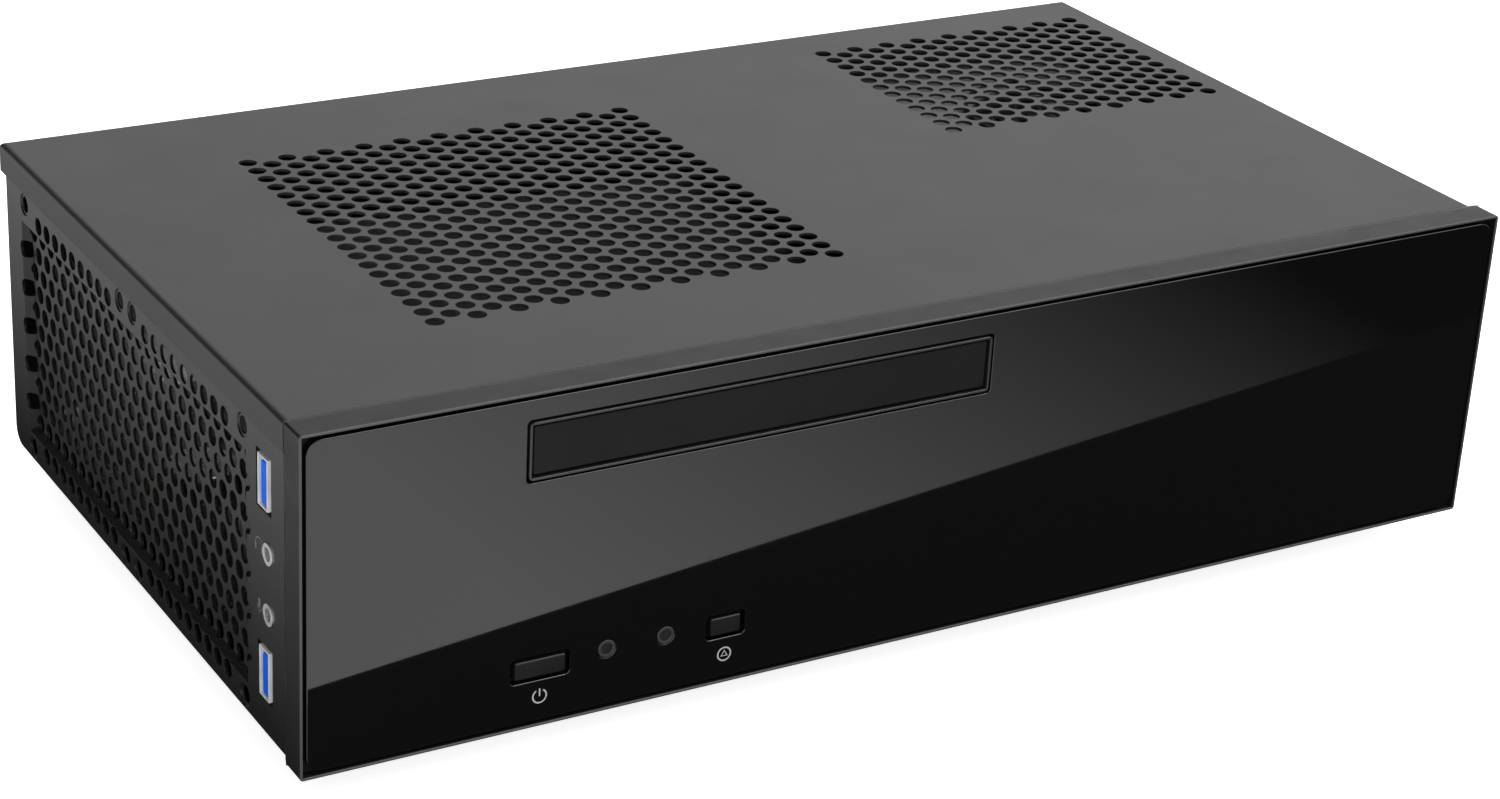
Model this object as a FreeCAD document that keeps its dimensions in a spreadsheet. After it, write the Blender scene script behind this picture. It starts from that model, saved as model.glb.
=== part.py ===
"""A slim desktop computer case, lying flat, with the computer inside it.

Every place below is given from the case's own corner: x from its left edge, y backwards from the
plane of its front, z up from its underside. place() turns that into the model's frame, whose origin
is the middle of the object at the bottom of the feet, with +Z up and the front facing -Y.
"""
import FreeCAD, Part
import math
import os
import re
import Sketcher
from types import SimpleNamespace

Vector = FreeCAD.Vector
Rotation = FreeCAD.Rotation

doc = FreeCAD.newDocument("slim_desktop")
sheet = doc.addObject("Spreadsheet::Sheet", "sheet")

SIZES = {
    # the whole case
    "case_width": 350, "case_depth": 205, "bezel_height": 88.6, "foot_height": 10.4,
    "screw_head": 2, "sheet_metal": 0.8, "gap": 0.3, "beyond": 1,
    # front bezel and the gloss panel set into it
    "bezel_depth": 10.4, "shoulder_depth": 2, "shoulder_angle": 18, "bezel_wall": 2,
    "bezel_corner": 0.8, "rim": 0.7, "rim_edge": 0.25, "panel_gap": 1, "panel_thick": 2.6,
    "panel_recess": 2.8, "panel_corner": 4, "panel_edge": 0.25, "bezel_screw_inset": 10,
    "bezel_screw_level": 8, "boss_radius": 3.5, "thread_depth": 5.4,
    # top cover
    "cover_inset": 0.6, "cover_top": 87.9, "lip_bottom": 79.8, "cover_bend": 1.6,
    "cover_screw_inset": 30, "cover_screw_level": 83.25, "cover_screw_length": 9,
    # hexagonal vent patterns
    "hole_radius": 2.45, "hole_pitch": 6.5,
    "left_vent_x": 112.05, "left_vent_y": 106.8, "rear_vent_x": 294.2, "rear_vent_y": 151.4,
    # side panels
    "side_inset": 1.7, "side_top": 86.5, "dish_depth": 2, "side_corner": 5,
    "dish_front": 35.4, "dish_back": 192.2, "dish_bottom": 7.6, "dish_top": 69.8,
    "side_rows_y": 35.4, "side_rows_z": 5.4,
    "fan_bolts": 71.5, "front_fan_y": 73.35, "rear_fan_y": 153.75, "side_fan_z": 39.45,
    "fan_bolt_radius": 2.25, "fan_bolt_sink": 3.1, "sink_depth": 0.4,
    # ports on the left side
    "port_y": 24.8, "upper_usb_z": 66.2, "lower_usb_z": 16, "usb_width": 5.8, "usb_height": 13.2,
    "usb_cut_width": 9, "usb_cut_height": 15, "usb_wall": 0.4, "usb_depth": 16,
    "jack_y": 22.4, "upper_jack_z": 48.6, "lower_jack_z": 32.7, "jack_radius": 2.8, "jack_bore": 1.75,
    # drive slot and the slim optical drive behind it
    "slot_left": 56.9, "slot_bottom": 65.5, "slot_width": 129.5, "slot_height": 16.2,
    "slot_gap": 0.6, "slot_frame_width": 0.7, "slot_frame_edge": 0.2, "slot_frame_depth": 5.8,
    "door_gap": 0.6, "door_front": 0.6, "door_thick": 4.2,
    "drive_left": 57.65, "drive_front": 6, "drive_bottom": 67.1, "drive_width": 128,
    "drive_length": 127, "drive_height": 12.7, "drive_skin": 0.6,
    "tray_height": 8.6, "tray_length": 122, "disc_radius": 60.5, "spindle_radius": 7.4,
    "spindle_from_front": 61, "motor_radius": 12.5, "tray_floor": 1.2, "disc_step": 1.5,
    "sled_from_spindle": 16, "sled_width": 28, "sled_length": 16, "sled_travel": 25,
    # front controls
    "control_z": 16, "power_x": 61.9, "power_width": 13.5, "power_recess": 15.9,
    "reset_x": 112.9, "reset_width": 8.4, "reset_recess": 11, "button_height": 4.8,
    "recess_height": 6.8, "recess_corner": 1.2, "button_depth": 5,
    "button_front": 0.1, "flange_edge": 1, "flange_thick": 0.9, "stem_radius": 1.6, "stem_length": 3,
    "lamp_radius": 2.5, "lens_radius": 2.3, "first_lamp_x": 79.8, "second_lamp_x": 96, "lamp_z": 17,
    "switch_front": 7.6, "switch_size": 6, "lamp_front": 7.8, "post_radius": 2,
    "button_board_y": 10.5, "button_board_x": 48, "button_board_z": 8, "button_board_width": 74,
    "button_board_height": 16, "board_thick": 1.6,
    # motherboard
    "board_left": 8, "board_size": 170, "board_back": 202.5, "standoff_height": 6.5,
    "board_hole_x": 157.48, "board_hole_y": 154.94, "board_hole_edge_x": 6.35,
    "board_hole_edge_y": 10.16, "machine_screw": 1.5, "pan_head": 3, "board_screw_length": 6,
    "io_width": 158.75, "io_height": 44.45, "io_left": 13.6, "io_bottom": 6.6,
    # processor cooler and memory
    "cooler_x": 105, "cooler_y": 118, "fin_height": 26, "fin_thick": 1, "cooler_base": 4,
    "fan_thick": 15, "cooler_fan_size": 92, "cooler_fan_bore": 43.5, "cooler_fan_reach": 41.8,
    "cooler_fan_hub": 17, "strut_width": 4, "strut_thick": 2, "blade_thick": 1.2,
    "socket_size": 45, "socket_height": 5, "memory_length": 133, "memory_height": 30,
    # power supply
    "supply_left": 220, "supply_width": 125, "supply_length": 100, "supply_height": 71,
    "supply_skin": 1, "supply_screw_inset": 3.5, "supply_fan_x": 313, "supply_fan_y": 150,
    "supply_fan_hole": 28, "guard_wire": 0.8, "guard_bar": 1, "guard_radius": 30,
    "psu_fan_size": 60, "psu_fan_bore": 28.2, "psu_fan_reach": 27, "psu_fan_hub": 12,
    "supply_board_level": 5,
    "inlet_x": 322, "inlet_z": 22, "inlet_width": 27, "inlet_height": 20, "inlet_depth": 21,
    "inlet_wall": 1.4, "supply_bezel": 1.4, "rocker_x": 288, "rocker_width": 10,
    "rocker_length": 15, "rocker_thick": 6, "rocker_tilt": 7, "pivot_radius": 1.2,
    "pivot_length": 1, "pivot_clearance": 0.1,
    # drive bracket and storage drive
    "bracket_left": 50, "bracket_width": 297.5, "bracket_length": 122, "bracket_thick": 1,
    "bracket_flange": 12, "bracket_notch_x": 214, "bracket_notch_y": 99, "airway_radius": 36,
    "storage_x": 215, "storage_y": 22, "storage_width": 100, "storage_length": 70,
    "storage_height": 9.5, "storage_window": 12,
    # power cable
    "cable_radius": 3.8, "cable_exit_x": 22, "cable_exit_z": 30, "cable_exit_radius": 9,
    "header_height": 9,
    # rubber feet
    "foot_radius": 10, "foot_taper": 1, "foot_inset": 36, "foot_well": 3.6,
}

for row, (alias, number) in enumerate(SIZES.items(), start=1):
    sheet.set(f"A{row}", alias)
    sheet.set(f"B{row}", str(number))
    sheet.setAlias(f"B{row}", alias)
doc.recompute()

size = SimpleNamespace(**{alias: float(sheet.get(alias)) for alias in SIZES})
nodes = []


# ---------------------------------------------------------------- building blocks

def linked(text):
    """An expression in which every name from the sheet is written in full."""
    def full_name(word):
        return f"sheet.{word.group()}" if word.group() in SIZES else word.group()
    return re.sub(r"[a-z_]+", full_name, str(text))


def bind(thing, **expressions):
    for name, text in expressions.items():
        thing.setExpression(name, linked(text))


def place(thing, x, y, z, turn=None):
    """Puts a thing at a place given from the case's front left corner at its underside."""
    thing.Placement = FreeCAD.Placement(Vector(0, 0, 0), turn or Rotation())
    thing.setExpression("Placement.Base.x", linked(f"{x} - case_width / 2"))
    thing.setExpression("Placement.Base.y", linked(f"{y} - (case_depth + screw_head) / 2"))
    thing.setExpression("Placement.Base.z", linked(f"{z} + foot_height"))
    return thing


def node(label, thing):
    """Names a finished sub-part and keeps it for export."""
    thing.Label = label
    nodes.append(thing)
    return thing


def block(x, y, z, length, width, height):
    box = doc.addObject("Part::Box", "block")
    bind(box, Length=length, Width=width, Height=height)
    return place(box, x, y, z)


ALONG = {
    "x": Rotation(Vector(0, 1, 0), 90),
    "y": Rotation(Vector(1, 0, 0), -90),
    "z": Rotation(),
}


def rod(axis, x, y, z, radius, length):
    cylinder = doc.addObject("Part::Cylinder", "rod")
    bind(cylinder, Radius=radius, Height=length)
    return place(cylinder, x, y, z, ALONG[axis])


def cone(axis, x, y, z, first_radius, last_radius, length):
    taper = doc.addObject("Part::Cone", "taper")
    bind(taper, Radius1=first_radius, Radius2=last_radius, Height=length)
    return place(taper, x, y, z, ALONG[axis])


def ring(x, y, z, radius, wire_radius):
    torus = doc.addObject("Part::Torus", "ring")
    bind(torus, Radius1=radius, Radius2=wire_radius)
    return place(torus, x, y, z)


def join(*pieces):
    fuse = doc.addObject("Part::MultiFuse", "join")
    fuse.Shapes = list(pieces)
    return fuse


def group(*pieces):
    """Separate solids that share one node."""
    compound = doc.addObject("Part::Compound", "group")
    compound.Links = list(pieces)
    return compound


def cut(base, *tools):
    result = doc.addObject("Part::Cut", "cut")
    result.Base = base
    result.Tool = tools[0] if len(tools) == 1 else group(*tools)
    return result


def common(first, second):
    result = doc.addObject("Part::Common", "common")
    result.Base = first
    result.Tool = second
    return result


# ---------------------------------------------------------------- bodies made from sketches

def new_body(label):
    body = doc.addObject("PartDesign::Body", label)
    place(body, 0, 0, 0)
    return node(label, body)


def sketch_on(body, role, offset=0):
    """A sketch on one of the body's own planes, moved along that plane's normal."""
    sketch = body.newObject("Sketcher::SketchObject", "sketch")
    plane = next(item for item in body.Origin.OriginFeatures if item.Role == role)
    sketch.AttachmentSupport = (plane, [""])
    sketch.MapMode = "FlatFace"
    sketch.setExpression("AttachmentOffset.Base.z", linked(offset))
    return sketch


def front_sketch(body, depth):
    """A sketch seen from the front, at this depth behind the front plane."""
    return sketch_on(body, "XZ_Plane", f"-({depth})")


def distance(sketch, kind, first, last, text):
    index = sketch.addConstraint(Sketcher.Constraint(kind, *first, *last, 1.0))
    sketch.setExpression(f"Constraints[{index}]", linked(text))


def rectangle(sketch, x, y, width, height):
    """A rectangle whose low corner and sides follow the sheet."""
    side = sketch.GeometryCount
    corners = [Vector(1, 1, 0), Vector(9, 1, 0), Vector(9, 9, 0), Vector(1, 9, 0)]
    for index in range(4):
        sketch.addGeometry(Part.LineSegment(corners[index], corners[(index + 1) % 4]), False)
    for index in range(4):
        following = side + (index + 1) % 4
        sketch.addConstraint(Sketcher.Constraint("Coincident", side + index, 2, following, 1))
    for index in (0, 2):
        sketch.addConstraint(Sketcher.Constraint("Horizontal", side + index))
        sketch.addConstraint(Sketcher.Constraint("Vertical", side + index + 1))
    distance(sketch, "DistanceX", (-1, 1), (side, 1), x)
    distance(sketch, "DistanceY", (-1, 1), (side, 1), y)
    distance(sketch, "DistanceX", (side, 1), (side, 2), width)
    distance(sketch, "DistanceY", (side + 1, 1), (side + 1, 2), height)


def circles(sketch, centres, radius):
    up = Vector(0, 0, 1)
    sketch.addGeometry([Part.Circle(Vector(x, y, 0), up, radius) for x, y in centres], False)


def feature(body, kind, name, **properties):
    item = body.newObject(f"PartDesign::{kind}", name)
    for key, setting in properties.items():
        setattr(item, key, setting)
    return item


def pad(body, sketch, length, backwards=False, taper=0):
    item = feature(body, "Pad", "pad", Profile=sketch, Reversed=backwards, TaperAngle=taper)
    bind(item, Length=length)
    doc.recompute()
    return item


def pocket(body, sketch, length, backwards=False, taper=0):
    """Cuts a sketch out of the body, and stops if it cuts nothing."""
    before = body.Tip.Shape.Volume
    item = feature(body, "Pocket", "pocket", Profile=sketch, Reversed=backwards, TaperAngle=taper)
    bind(item, Length=length)
    doc.recompute()
    if item.Shape.Volume > before - 1e-3:
        raise RuntimeError(f"a pocket in {body.Label} cuts nothing")
    return item


def fillet(body, radius, wanted):
    """Rounds every edge of the body that wanted() picks out."""
    doc.recompute()
    base = body.Tip
    names = [f"Edge{index}" for index, edge in enumerate(base.Shape.Edges, 1) if wanted(edge)]
    item = feature(body, "Fillet", "rounding", Base=(base, names))
    bind(item, Radius=radius)
    doc.recompute()
    return item


def near(first, second):
    return abs(first - second) < 1e-3


def lies_at(edge, axis, position):
    """True when the whole edge has this coordinate."""
    box = edge.BoundBox
    low, high = getattr(box, f"{axis}Min"), getattr(box, f"{axis}Max")
    return near(low, position) and near(high, position)


def runs_along(edge, axis):
    """True for a straight edge in the direction of this axis."""
    box = edge.BoundBox
    spans = {name: getattr(box, f"{name}Length") for name in "XYZ"}
    return edge.Curve.TypeId == "Part::GeomLine" and near(spans[axis], edge.Length)


def hexagonal(centre_x, centre_y, columns, holes):
    """Centres of a hexagonal field whose even columns hold this many holes along y."""
    pitch = size.hole_pitch
    spacing = pitch * math.sqrt(3) / 2
    centres = []
    for column in range(columns):
        count = holes - column % 2
        x = centre_x + (column - (columns - 1) / 2) * spacing
        centres += [(x, centre_y + (hole - (count - 1) / 2) * pitch) for hole in range(count)]
    return centres


# ---------------------------------------------------------------- case: sheet metal

def make_top_cover():
    """Top skin with a bent lip on each side, a rear flange and two fields of vent holes."""
    body = new_body("top_cover")
    outline = sketch_on(body, "XY_Plane", "lip_bottom")
    rectangle(outline, "cover_inset", "bezel_depth + gap",
              "case_width - 2 * cover_inset", "case_depth - bezel_depth - gap")
    pad(body, outline, "cover_top - lip_bottom")
    inside = sketch_on(body, "XY_Plane", "lip_bottom")
    rectangle(inside, "cover_inset + sheet_metal", "bezel_depth - beyond",
              "case_width - 2 * cover_inset - 2 * sheet_metal",
              "case_depth - sheet_metal - bezel_depth + beyond")
    pocket(body, inside, "cover_top - lip_bottom - sheet_metal", backwards=True)
    front_edge = size.bezel_depth + size.gap
    fillet(body, "cover_bend", lambda edge: lies_at(edge, "Z", size.cover_top)
           and not lies_at(edge, "Y", front_edge))
    vents = sketch_on(body, "XY_Plane", "cover_top")
    circles(vents, hexagonal(size.left_vent_x, size.left_vent_y, 21, 19)
            + hexagonal(size.rear_vent_x, size.rear_vent_y, 17, 12), size.hole_radius)
    pocket(body, vents, "2 * sheet_metal")
    screws = front_sketch(body, "case_depth - 2 * sheet_metal")
    circles(screws, cover_screw_places(), size.machine_screw)
    pocket(body, screws, "3 * sheet_metal")


def cover_screw_places():
    inset = size.cover_screw_inset
    return [(x, size.cover_screw_level) for x in (inset, size.case_width / 2, size.case_width - inset)]


def cross_slot(x, y, z):
    """The driver's cross, sunk into a screw head that faces backwards."""
    arm, width, depth = 4.8, 0.8, 1
    return [block(f"{x} - {arm / 2}", y, f"{z} - {width / 2}", arm, depth, width),
            block(f"{x} - {width / 2}", y, f"{z} - {arm / 2}", width, depth, arm)]


def make_cover_screws():
    screws = []
    for x, z in cover_screw_places():
        shank = rod("y", x, "case_depth - cover_screw_length", z, "machine_screw",
                    "cover_screw_length")
        head = rod("y", x, "case_depth", z, "pan_head", "screw_head")
        screws.append(cut(join(shank, head), *cross_slot(x, "case_depth + 1.1", z)))
    node("cover_screws", group(*screws))


def make_chassis_base():
    body = new_body("chassis_base")
    outline = sketch_on(body, "XY_Plane")
    inset = "side_inset + sheet_metal"
    rectangle(outline, inset, "bezel_depth", f"case_width - 2 * ({inset})",
              "case_depth - bezel_depth - 2 * sheet_metal - gap")
    pad(body, outline, "sheet_metal")
    holes = sketch_on(body, "XY_Plane", "sheet_metal")
    circles(holes, foot_places(), size.machine_screw)
    circles(holes, hexagonal(262, 60, 13, 8), size.hole_radius)
    pocket(body, holes, "2 * sheet_metal")


def make_front_wall():
    """The chassis wall behind the bezel, open for the drive, the button board and the cables."""
    body = new_body("front_wall")
    inset = "side_inset + sheet_metal"
    outline = front_sketch(body, "bezel_depth")
    rectangle(outline, inset, "sheet_metal", f"case_width - 2 * ({inset})", "side_top - sheet_metal")
    pad(body, outline, "sheet_metal", backwards=True)
    openings = front_sketch(body, "bezel_depth")
    rectangle(openings, "drive_left - 1", "drive_bottom - 2", "drive_width + 2", "drive_height + 4")
    rectangle(openings, "button_board_x - 2", "button_board_z - 2", "button_board_width + 4",
              "button_board_height + 4")
    rectangle(openings, 130, 10, 60, 30)
    rectangle(openings, 220, 10, 90, 45)
    circles(openings, bezel_screw_places(), size.machine_screw)
    pocket(body, openings, "2 * sheet_metal")


def make_rear_panel():
    body = new_body("rear_panel")
    inset = "side_inset + sheet_metal"
    back = "case_depth - 2 * sheet_metal - gap"
    outline = front_sketch(body, back)
    rectangle(outline, inset, 0, f"case_width - 2 * ({inset})", "side_top")
    pad(body, outline, "sheet_metal", backwards=True)
    openings = front_sketch(body, back)
    rectangle(openings, "io_left", "io_bottom", "io_width", "io_height")
    rectangle(openings, "supply_left + 6", "sheet_metal + 6", "supply_width - 12",
              "supply_height - 12")
    circles(openings, cover_screw_places(), size.machine_screw + size.gap)
    circles(openings, supply_screw_places(), size.machine_screw)
    pocket(body, openings, "2 * sheet_metal")


def side_holes():
    """The left side's vent rows; the outermost two are short and miss the fan screws."""
    spacing = size.hole_pitch * math.sqrt(3) / 2
    last_row = 12
    centres = []
    for row in range(last_row + 1):
        z = size.side_rows_z + row * spacing
        first = size.side_rows_y + (row % 2) * size.hole_pitch / 2
        for hole in range(25 - row % 2):
            outer_row = row in (0, last_row)
            if not outer_row or 2 <= hole <= 10 or 14 <= hole <= 22:
                centres.append((first + hole * size.hole_pitch, z))
    return centres


def fan_bolt_places():
    half = size.fan_bolts / 2
    return [(y + side, size.side_fan_z + up) for y in (size.front_fan_y, size.rear_fan_y)
            for side in (-half, half) for up in (-half, half)]


def make_left_side_panel():
    """Perforated side: its middle is pressed inwards as a shallow dish for two fans."""
    body = new_body("left_side_panel")
    outline = sketch_on(body, "YZ_Plane", "side_inset")
    rectangle(outline, "bezel_depth", 0, "case_depth - bezel_depth - sheet_metal - gap", "side_top")
    pad(body, outline, "sheet_metal")
    back = size.case_depth - size.sheet_metal - size.gap
    fillet(body, "side_corner", lambda edge: runs_along(edge, "X") and lies_at(edge, "Y", back)
           and lies_at(edge, "Z", 0))
    bulge = sketch_on(body, "YZ_Plane", "side_inset + sheet_metal")
    grow = "sheet_metal * 0.414"
    rectangle(bulge, f"dish_front - {grow}", f"dish_bottom - {grow}",
              f"dish_back - dish_front + 2 * {grow}", f"dish_top - dish_bottom + 2 * {grow}")
    pad(body, bulge, "dish_depth", taper=-45)
    dish = sketch_on(body, "YZ_Plane", "side_inset")
    rectangle(dish, "dish_front", "dish_bottom", "dish_back - dish_front", "dish_top - dish_bottom")
    pocket(body, dish, "dish_depth", backwards=True, taper=-45)
    holes = sketch_on(body, "YZ_Plane", "side_inset")
    circles(holes, side_holes(), size.hole_radius)
    pocket(body, holes, "dish_depth + 3 * sheet_metal", backwards=True)
    openings = sketch_on(body, "YZ_Plane", "side_inset")
    for centre in ("upper_usb_z", "lower_usb_z"):
        rectangle(openings, "port_y - usb_cut_width / 2", f"{centre} - usb_cut_height / 2",
                  "usb_cut_width", "usb_cut_height")
    circles(openings, [(size.jack_y, size.upper_jack_z), (size.jack_y, size.lower_jack_z)],
            size.jack_radius + size.gap / 2)
    circles(openings, fan_bolt_places(), size.fan_bolt_radius)
    pocket(body, openings, "2 * sheet_metal", backwards=True)
    sinks = sketch_on(body, "YZ_Plane", "side_inset")
    circles(sinks, fan_bolt_places(), size.fan_bolt_sink)
    pocket(body, sinks, "sink_depth", backwards=True, taper=-45)


def make_right_side_panel():
    body = new_body("right_side_panel")
    outline = sketch_on(body, "YZ_Plane", "case_width - side_inset - sheet_metal")
    rectangle(outline, "bezel_depth", 0, "case_depth - bezel_depth - sheet_metal - gap", "side_top")
    pad(body, outline, "sheet_metal")
    holes = sketch_on(body, "YZ_Plane", "case_width - side_inset - sheet_metal")
    circles(holes, [(y, z) for z, y in hexagonal(30, 150, 7, 13)], size.hole_radius)
    pocket(body, holes, "2 * sheet_metal", backwards=True)


def foot_places():
    back = size.case_depth - size.foot_inset
    right = size.case_width - size.foot_inset
    return [(x, y) for x in (size.foot_inset, right) for y in (size.foot_inset, back)]


def make_feet():
    feet = []
    screws = []
    for x, y in foot_places():
        rubber = cone("z", x, y, "-foot_height", "foot_radius - foot_taper", "foot_radius",
                      "foot_height")
        well = rod("z", x, y, "-foot_height", "foot_well", "foot_height / 2")
        bore = rod("z", x, y, "-foot_height", "machine_screw", "foot_height")
        feet.append(cut(rubber, join(well, bore)))
        head = rod("z", x, y, "-foot_height / 2 - screw_head", "pan_head", "screw_head")
        shank = rod("z", x, y, "-foot_height / 2", "machine_screw",
                    "foot_height / 2 + sheet_metal")
        screws.append(join(head, shank))
    node("feet", group(*feet))
    node("foot_screws", group(*screws))


# ---------------------------------------------------------------- front bezel and controls

def bezel_screw_places():
    inset, level = size.bezel_screw_inset, size.bezel_screw_level
    return [(x, z) for x in (inset, size.case_width - inset) for z in (level, size.bezel_height - level)]


def slot_outline(sketch, inset):
    """The drive slot's rectangle, drawn in by an inset on every side."""
    rectangle(sketch, f"slot_left + {inset}", f"slot_bottom + {inset}",
              f"slot_width - 2 * ({inset})", f"slot_height - 2 * ({inset})")


def cut_control_openings(body, depth, length, slot_inset, power_width, reset_width, height):
    """Openings for the drive slot, the two buttons and the two lamps, seen from the front."""
    openings = front_sketch(body, depth)
    slot_outline(openings, slot_inset)
    rectangle(openings, f"power_x - ({power_width}) / 2", f"control_z - ({height}) / 2",
              power_width, height)
    rectangle(openings, f"reset_x - ({reset_width}) / 2", f"control_z - ({height}) / 2",
              reset_width, height)
    circles(openings, [(size.first_lamp_x, size.lamp_z), (size.second_lamp_x, size.lamp_z)],
            size.lamp_radius)
    pocket(body, openings, length)


def make_front_bezel():
    """Moulded frame: a rim in front, a sloped shoulder behind, hollow at the back."""
    body = new_body("front_bezel")
    outline = front_sketch(body, 0)
    rectangle(outline, 0, 0, "case_width", "bezel_height")
    pad(body, outline, "bezel_depth - shoulder_depth", backwards=True)
    fillet(body, "bezel_corner", lambda edge: runs_along(edge, "Y"))
    shoulder = front_sketch(body, "bezel_depth - shoulder_depth")
    rectangle(shoulder, 0, 0, "case_width", "bezel_height")
    pad(body, shoulder, "shoulder_depth", backwards=True, taper=-size.shoulder_angle)
    recess = front_sketch(body, 0)
    rectangle(recess, "rim", "rim", "case_width - 2 * rim", "bezel_height - 2 * rim")
    pocket(body, recess, "panel_recess")
    hollow = front_sketch(body, "panel_recess + bezel_wall")
    rectangle(hollow, "1.5 * bezel_wall", "1.5 * bezel_wall",
              "case_width - 3 * bezel_wall", "bezel_height - 3 * bezel_wall")
    pocket(body, hollow, "bezel_depth - panel_recess - bezel_wall + beyond")
    cut_control_openings(body, 0, "panel_recess + bezel_wall + beyond", "slot_gap",
                         "power_width + 2 * gap", "reset_width + 2 * gap", "button_height + 2 * gap")
    fillet(body, "rim_edge", lambda edge: lies_at(edge, "Y", 0))
    bosses = front_sketch(body, "panel_recess + bezel_wall")
    circles(bosses, bezel_screw_places(), size.boss_radius)
    pad(body, bosses, "bezel_depth - panel_recess - bezel_wall", backwards=True)
    posts = front_sketch(body, "panel_recess + bezel_wall")
    circles(posts, button_board_posts(), size.post_radius)
    pad(body, posts, "button_board_y - panel_recess - bezel_wall", backwards=True)
    threads = front_sketch(body, "bezel_depth - thread_depth")
    circles(threads, bezel_screw_places(), size.machine_screw)
    pocket(body, threads, "thread_depth + beyond")


def make_front_panel():
    body = new_body("front_panel")
    depth = "panel_recess - panel_thick"
    outline = front_sketch(body, depth)
    inset = "rim + panel_gap"
    rectangle(outline, inset, inset, f"case_width - 2 * ({inset})", f"bezel_height - 2 * ({inset})")
    pad(body, outline, "panel_thick", backwards=True)
    fillet(body, "panel_corner", lambda edge: runs_along(edge, "Y"))
    cut_control_openings(body, depth, "panel_thick + beyond", 0, "power_recess", "reset_recess",
                         "recess_height")
    margin = size.rim + size.panel_gap + 2 * size.panel_corner
    fillet(body, "recess_corner", lambda edge: runs_along(edge, "Y")
           and margin < edge.BoundBox.XMin < size.case_width - margin)
    front = size.panel_recess - size.panel_thick
    fillet(body, "panel_edge", lambda edge: lies_at(edge, "Y", front))


def make_bezel_screws():
    screws = []
    for x, z in bezel_screw_places():
        shank = rod("y", x, "bezel_depth - 5", z, "machine_screw", "5 + sheet_metal")
        head = rod("y", x, "bezel_depth + sheet_metal", z, "pan_head", "screw_head")
        screws.append(join(shank, head))
    node("bezel_screws", group(*screws))


def make_drive_slot_frame():
    body = new_body("drive_slot_frame")
    outline = front_sketch(body, 0)
    slot_outline(outline, "slot_gap")
    pad(body, outline, "slot_frame_depth", backwards=True)
    fillet(body, "recess_corner", lambda edge: runs_along(edge, "Y"))
    opening = front_sketch(body, 0)
    slot_outline(opening, "slot_gap + slot_frame_width")
    pocket(body, opening, "slot_frame_depth + beyond")
    fillet(body, "slot_frame_edge", lambda edge: lies_at(edge, "Y", 0))


def make_button(label, x, width):
    """A bar button with a flange behind the bezel and a stem that works the switch."""
    body = new_body(label)
    key = front_sketch(body, "button_front")
    rectangle(key, f"{x} - {width} / 2", "control_z - button_height / 2", width, "button_height")
    pad(body, key, "button_depth", backwards=True)
    fillet(body, 0.5, lambda edge: runs_along(edge, "Y"))
    fillet(body, 0.45, lambda edge: lies_at(edge, "Y", size.button_front))
    flange = front_sketch(body, "button_front + button_depth")
    rectangle(flange, f"{x} - {width} / 2 - flange_edge",
              "control_z - button_height / 2 - flange_edge",
              f"{width} + 2 * flange_edge", "button_height + 2 * flange_edge")
    pad(body, flange, "flange_thick", backwards=True)
    stem = front_sketch(body, "button_front + button_depth + flange_thick")
    circles(stem, [(getattr(size, x), size.control_z)], size.stem_radius)
    pad(body, stem, "stem_length", backwards=True)


def button_board_posts():
    return [(51.5, 21.5), (104, 11), (88, 21.5)]


def make_button_board():
    node("button_board", block("button_board_x", "button_board_y", "button_board_z",
                               "button_board_width", "board_thick", "button_board_height"))
    switches = []
    for x in ("power_x", "reset_x"):
        case = block(f"{x} - switch_size / 2", "switch_front", "control_z - switch_size / 2",
                     "switch_size", "button_board_y - switch_front", "switch_size")
        well = rod("y", x, "switch_front - beyond", "control_z", "stem_radius + gap",
                   "button_board_y - switch_front + 2 * beyond")
        switches.append(cut(case, well))
    node("tactile_switches", group(*switches))
    pipes = []
    lamps = []
    wall_back = "(panel_recess + bezel_wall)"
    for x in ("first_lamp_x", "second_lamp_x"):
        lens = rod("y", x, "gap / 2", "lamp_z", "lens_radius", f"{wall_back} - gap / 2")
        stem = rod("y", x, wall_back, "lamp_z", "lamp_radius - 0.5", f"lamp_front - {wall_back}")
        pipes.append(join(lens, stem))
        lamps.append(rod("y", x, "lamp_front", "lamp_z", 1.5, "button_board_y - lamp_front"))
    node("led_light_pipes", group(*pipes))
    node("indicator_leds", group(*lamps))


# ---------------------------------------------------------------- ports on the left side

def make_side_ports():
    """Two USB sockets and two sound jacks on a small upright board inside the left side."""
    board_x = "side_inset + usb_depth"
    node("side_port_board", block(board_x, 15, 6, "board_thick", 16, 70))
    shells = []
    tongues = []
    for z in ("upper_usb_z", "lower_usb_z"):
        outer = block("side_inset - 0.3", "port_y - usb_width / 2", f"{z} - usb_height / 2",
                      "usb_depth + 0.3", "usb_width", "usb_height")
        inner = block("side_inset - 1", "port_y - usb_width / 2 + usb_wall",
                      f"{z} - usb_height / 2 + usb_wall", "usb_depth - 1",
                      "usb_width - 2 * usb_wall", "usb_height - 2 * usb_wall")
        shells.append(cut(outer, inner))
        tongues.append(block("side_inset + 0.8", "port_y - 1.7", f"{z} - usb_height / 2 + 1.1",
                             "usb_depth - 2.8", 1.9, "usb_height - 2.2"))
    node("usb_shells", group(*shells))
    node("usb_tongues", group(*tongues))
    jacks = []
    for z in ("upper_jack_z", "lower_jack_z"):
        case = block("side_inset + sheet_metal", "jack_y - 3.5", f"{z} - 3.5",
                     "usb_depth - sheet_metal", 7, 7)
        barrel = rod("x", "side_inset - 0.3", "jack_y", z, "jack_radius", 2)
        bore = rod("x", "side_inset - 1", "jack_y", z, "jack_bore", "usb_depth - 2")
        jacks.append(cut(join(case, barrel), bore))
    node("audio_jacks", group(*jacks))


# ---------------------------------------------------------------- drives

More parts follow.
